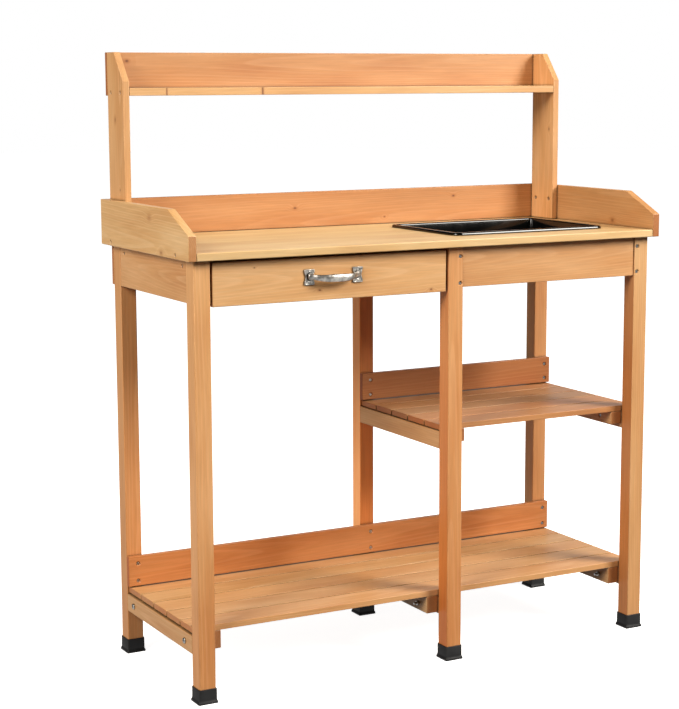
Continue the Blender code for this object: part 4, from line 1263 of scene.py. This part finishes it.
handle = carve(grip_mesh(), [plate_mesh(-plate_reach), plate_mesh(plate_reach)], "UNION")
bmesh.ops.translate(handle, vec=(handle_middle.x, handle_high.y, handle_middle.z),
                    verts=handle.verts)
waste = box_mesh(handle_high - Vector((0.1, 0, 0.05)), handle_high + Vector((0.1, 0.05, 0.05)))
handle = carve(handle, [waste])
pull = add_piece("drawer_handle_cast", handle, CAST_ZINC, "drawer", "cast_zinc", "drawer_handle")
print("handle faces:", len(pull.data.polygons))

# %% [markdown]
# Each plate is held by two small round-head screws, one above and one below the grip.

# %% Handle screws
PIN_RADIUS = 2.9 * MM
PIN_HEIGHT = 1.5 * MM
PIN_FROM_GRIP = 10.5 * MM     # screw centre to the middle of its plate


def round_head():
    dome = dome_profile(PIN_RADIUS, 0, PIN_HEIGHT, 5)
    bm = turned(dome + [(PIN_RADIUS, -0.3 * MM), (0, -0.3 * MM)], 20)
    return carve(bm, cross_cutters(1.6 * MM, 0.8 * MM, PIN_HEIGHT, 0.7 * MM))


round_mesh = as_mesh("round_head", round_head())
pins = bmesh.new()
for side_way in (-1, 1):
    for up_way in (-1, 1):
        place = Vector((handle_middle.x + side_way * plate_reach,
                        handle_high.y - PLATE_THICKNESS + PLATE_RECESS,
                        handle_middle.z + up_way * PIN_FROM_GRIP))
        turn = Matrix.Rotation(QUARTER, 4, "X") @ Matrix.Rotation(0.4 * side_way, 4, "Z")
        add_copy(pins, round_mesh, Matrix.Translation(place) @ turn)
add_piece("handle_screws", pins, ZINC, "drawer", "zinc_plated_steel")
print("handle screws: 4")

# %% [markdown]
# ## Floor and light
#
# A plain pale floor and soft studio light. The key is a large softbox in front of the bench, high
# and well to the right, so the fronts glow and the boards deep under the top go dark. A second one,
# far off to the left, and a low reflector lift the left faces to nearly the same brightness. A weak
# one overhead brings up the working surface. The surrounding white is only what the lens sees; the
# light that it gives is turned down.

# %% Floor
def floor_material():
    """A white floor that glows: full white far off, a little less under the bench, a painted shadow."""
    tree, shader, made = new_material("white_floor_glowing_with_painted_shadow", Roughness=0.85,
                                      Emission_Color=linear("ffffff"))
    place = add(tree, "TexCoord").outputs["Object"]
    away = add(tree, "VectorMath", {0: place}, operation="LENGTH").outputs["Value"]
    # A weaker glow near the bench is a painted shadow.
    lit = add(tree, "MapRange", {"Value": away, "From Min": 0.5, "From Max": 2.2, "To Min": 0.93,
                                 "To Max": 1.0}, interpolation_type="SMOOTHSTEP")
    mottled = add(tree, "TexNoise", {"Vector": place, "Scale": 3.0, "Detail": 3.0})
    colour = add(tree, "ValToRGB", {0: mottled.outputs["Fac"]},
                 stops=[(0.3, "f1f0ee"), (0.7, "f7f6f4")])
    wire(tree, shader, Base_Color=colour, Emission_Strength=lit)
    return made


floor_bm = bmesh.new()
bmesh.ops.create_circle(floor_bm, cap_ends=True, segments=64, radius=30.0)
floor = as_object("floor", floor_bm)
floor.data.materials.append(floor_material())
floor.visible_diffuse = False
floor.visible_glossy = False


# %% Lights
def softbox(name, place, aim, size, power):
    light = bpy.data.lights.new(name, "AREA")
    light.shape = "RECTANGLE"
    light.size, light.size_y = size
    light.energy = power
    light.color = linear("fffaf2")[:3]
    made = bpy.data.objects.new(name, light)
    towards = Vector(aim) - Vector(place)
    turn = towards.to_track_quat("-Z", "Y").to_matrix().to_4x4()
    made.matrix_world = Matrix.Translation(place) @ turn
    bpy.context.scene.collection.objects.link(made)
    return made


MIDDLE_OF_BENCH = (0, 0, 0.75)
softbox("key_softbox", (3.1, -3.44, 3.4), MIDDLE_OF_BENCH, (2.0, 2.2), 375)
softbox("left_softbox", (-6.5, -2.9, 4.8), MIDDLE_OF_BENCH, (3.2, 3.6), 550)
top_light = softbox("top_softbox", (0.1, -0.3, 3.6), (0, 0, 0.95), (1.8, 1.2), 20)
reflector = softbox("left_reflector", (-5.4, 0.1, 1.0), (0, 0.1, 0.75), (2.9, 2.4), 75)
for light in (top_light, reflector):
    light.visible_glossy = False      # they lift the wood and would grey the glossy sink

# What the lens sees is white. Polished faces see a white backdrop hung squarely behind the bench,
# a pale floor below the horizon and a dark room above it; matt faces see a dim room.
ROOM_GLOW = 0.04
world = bpy.data.worlds.new("studio")
world.use_nodes = True
bpy.context.scene.world = world
tree = world.node_tree
ray = add(tree, "LightPath")
axis = (math.sin(-TURN), math.cos(TURN), 0)
looking = add(tree, "TexCoord").outputs["Generated"]
facing = add(tree, "VectorMath", {0: looking, 1: axis}, operation="DOT_PRODUCT").outputs["Value"]
height = add(tree, "SeparateXYZ", {0: looking}).outputs["Z"]
backdrop = add(tree, "MapRange", {"Value": facing, "From Min": 0.75, "From Max": 0.97,
                                  "To Max": 0.9})
pale_floor = add(tree, "MapRange", {"Value": height, "From Min": 0.0, "From Max": -0.2,
                                    "To Max": 0.6})
room = add(tree, "Math", {0: backdrop, 1: pale_floor}, operation="MAXIMUM")
by_gloss = add(tree, "Mix", {"Factor": ray.outputs["Is Glossy Ray"], "A": ROOM_GLOW, "B": room})
strength = add(tree, "Mix", {"Factor": ray.outputs["Is Camera Ray"], "A": by_gloss, "B": 1.0})
seen = tree.nodes["Background"]
seen.inputs["Color"].default_value = (1, 1, 1, 1)
tree.links.new(strength.outputs[0], seen.inputs["Strength"])
bpy.context.scene.view_settings.view_transform = "Standard"
print("lights ready")
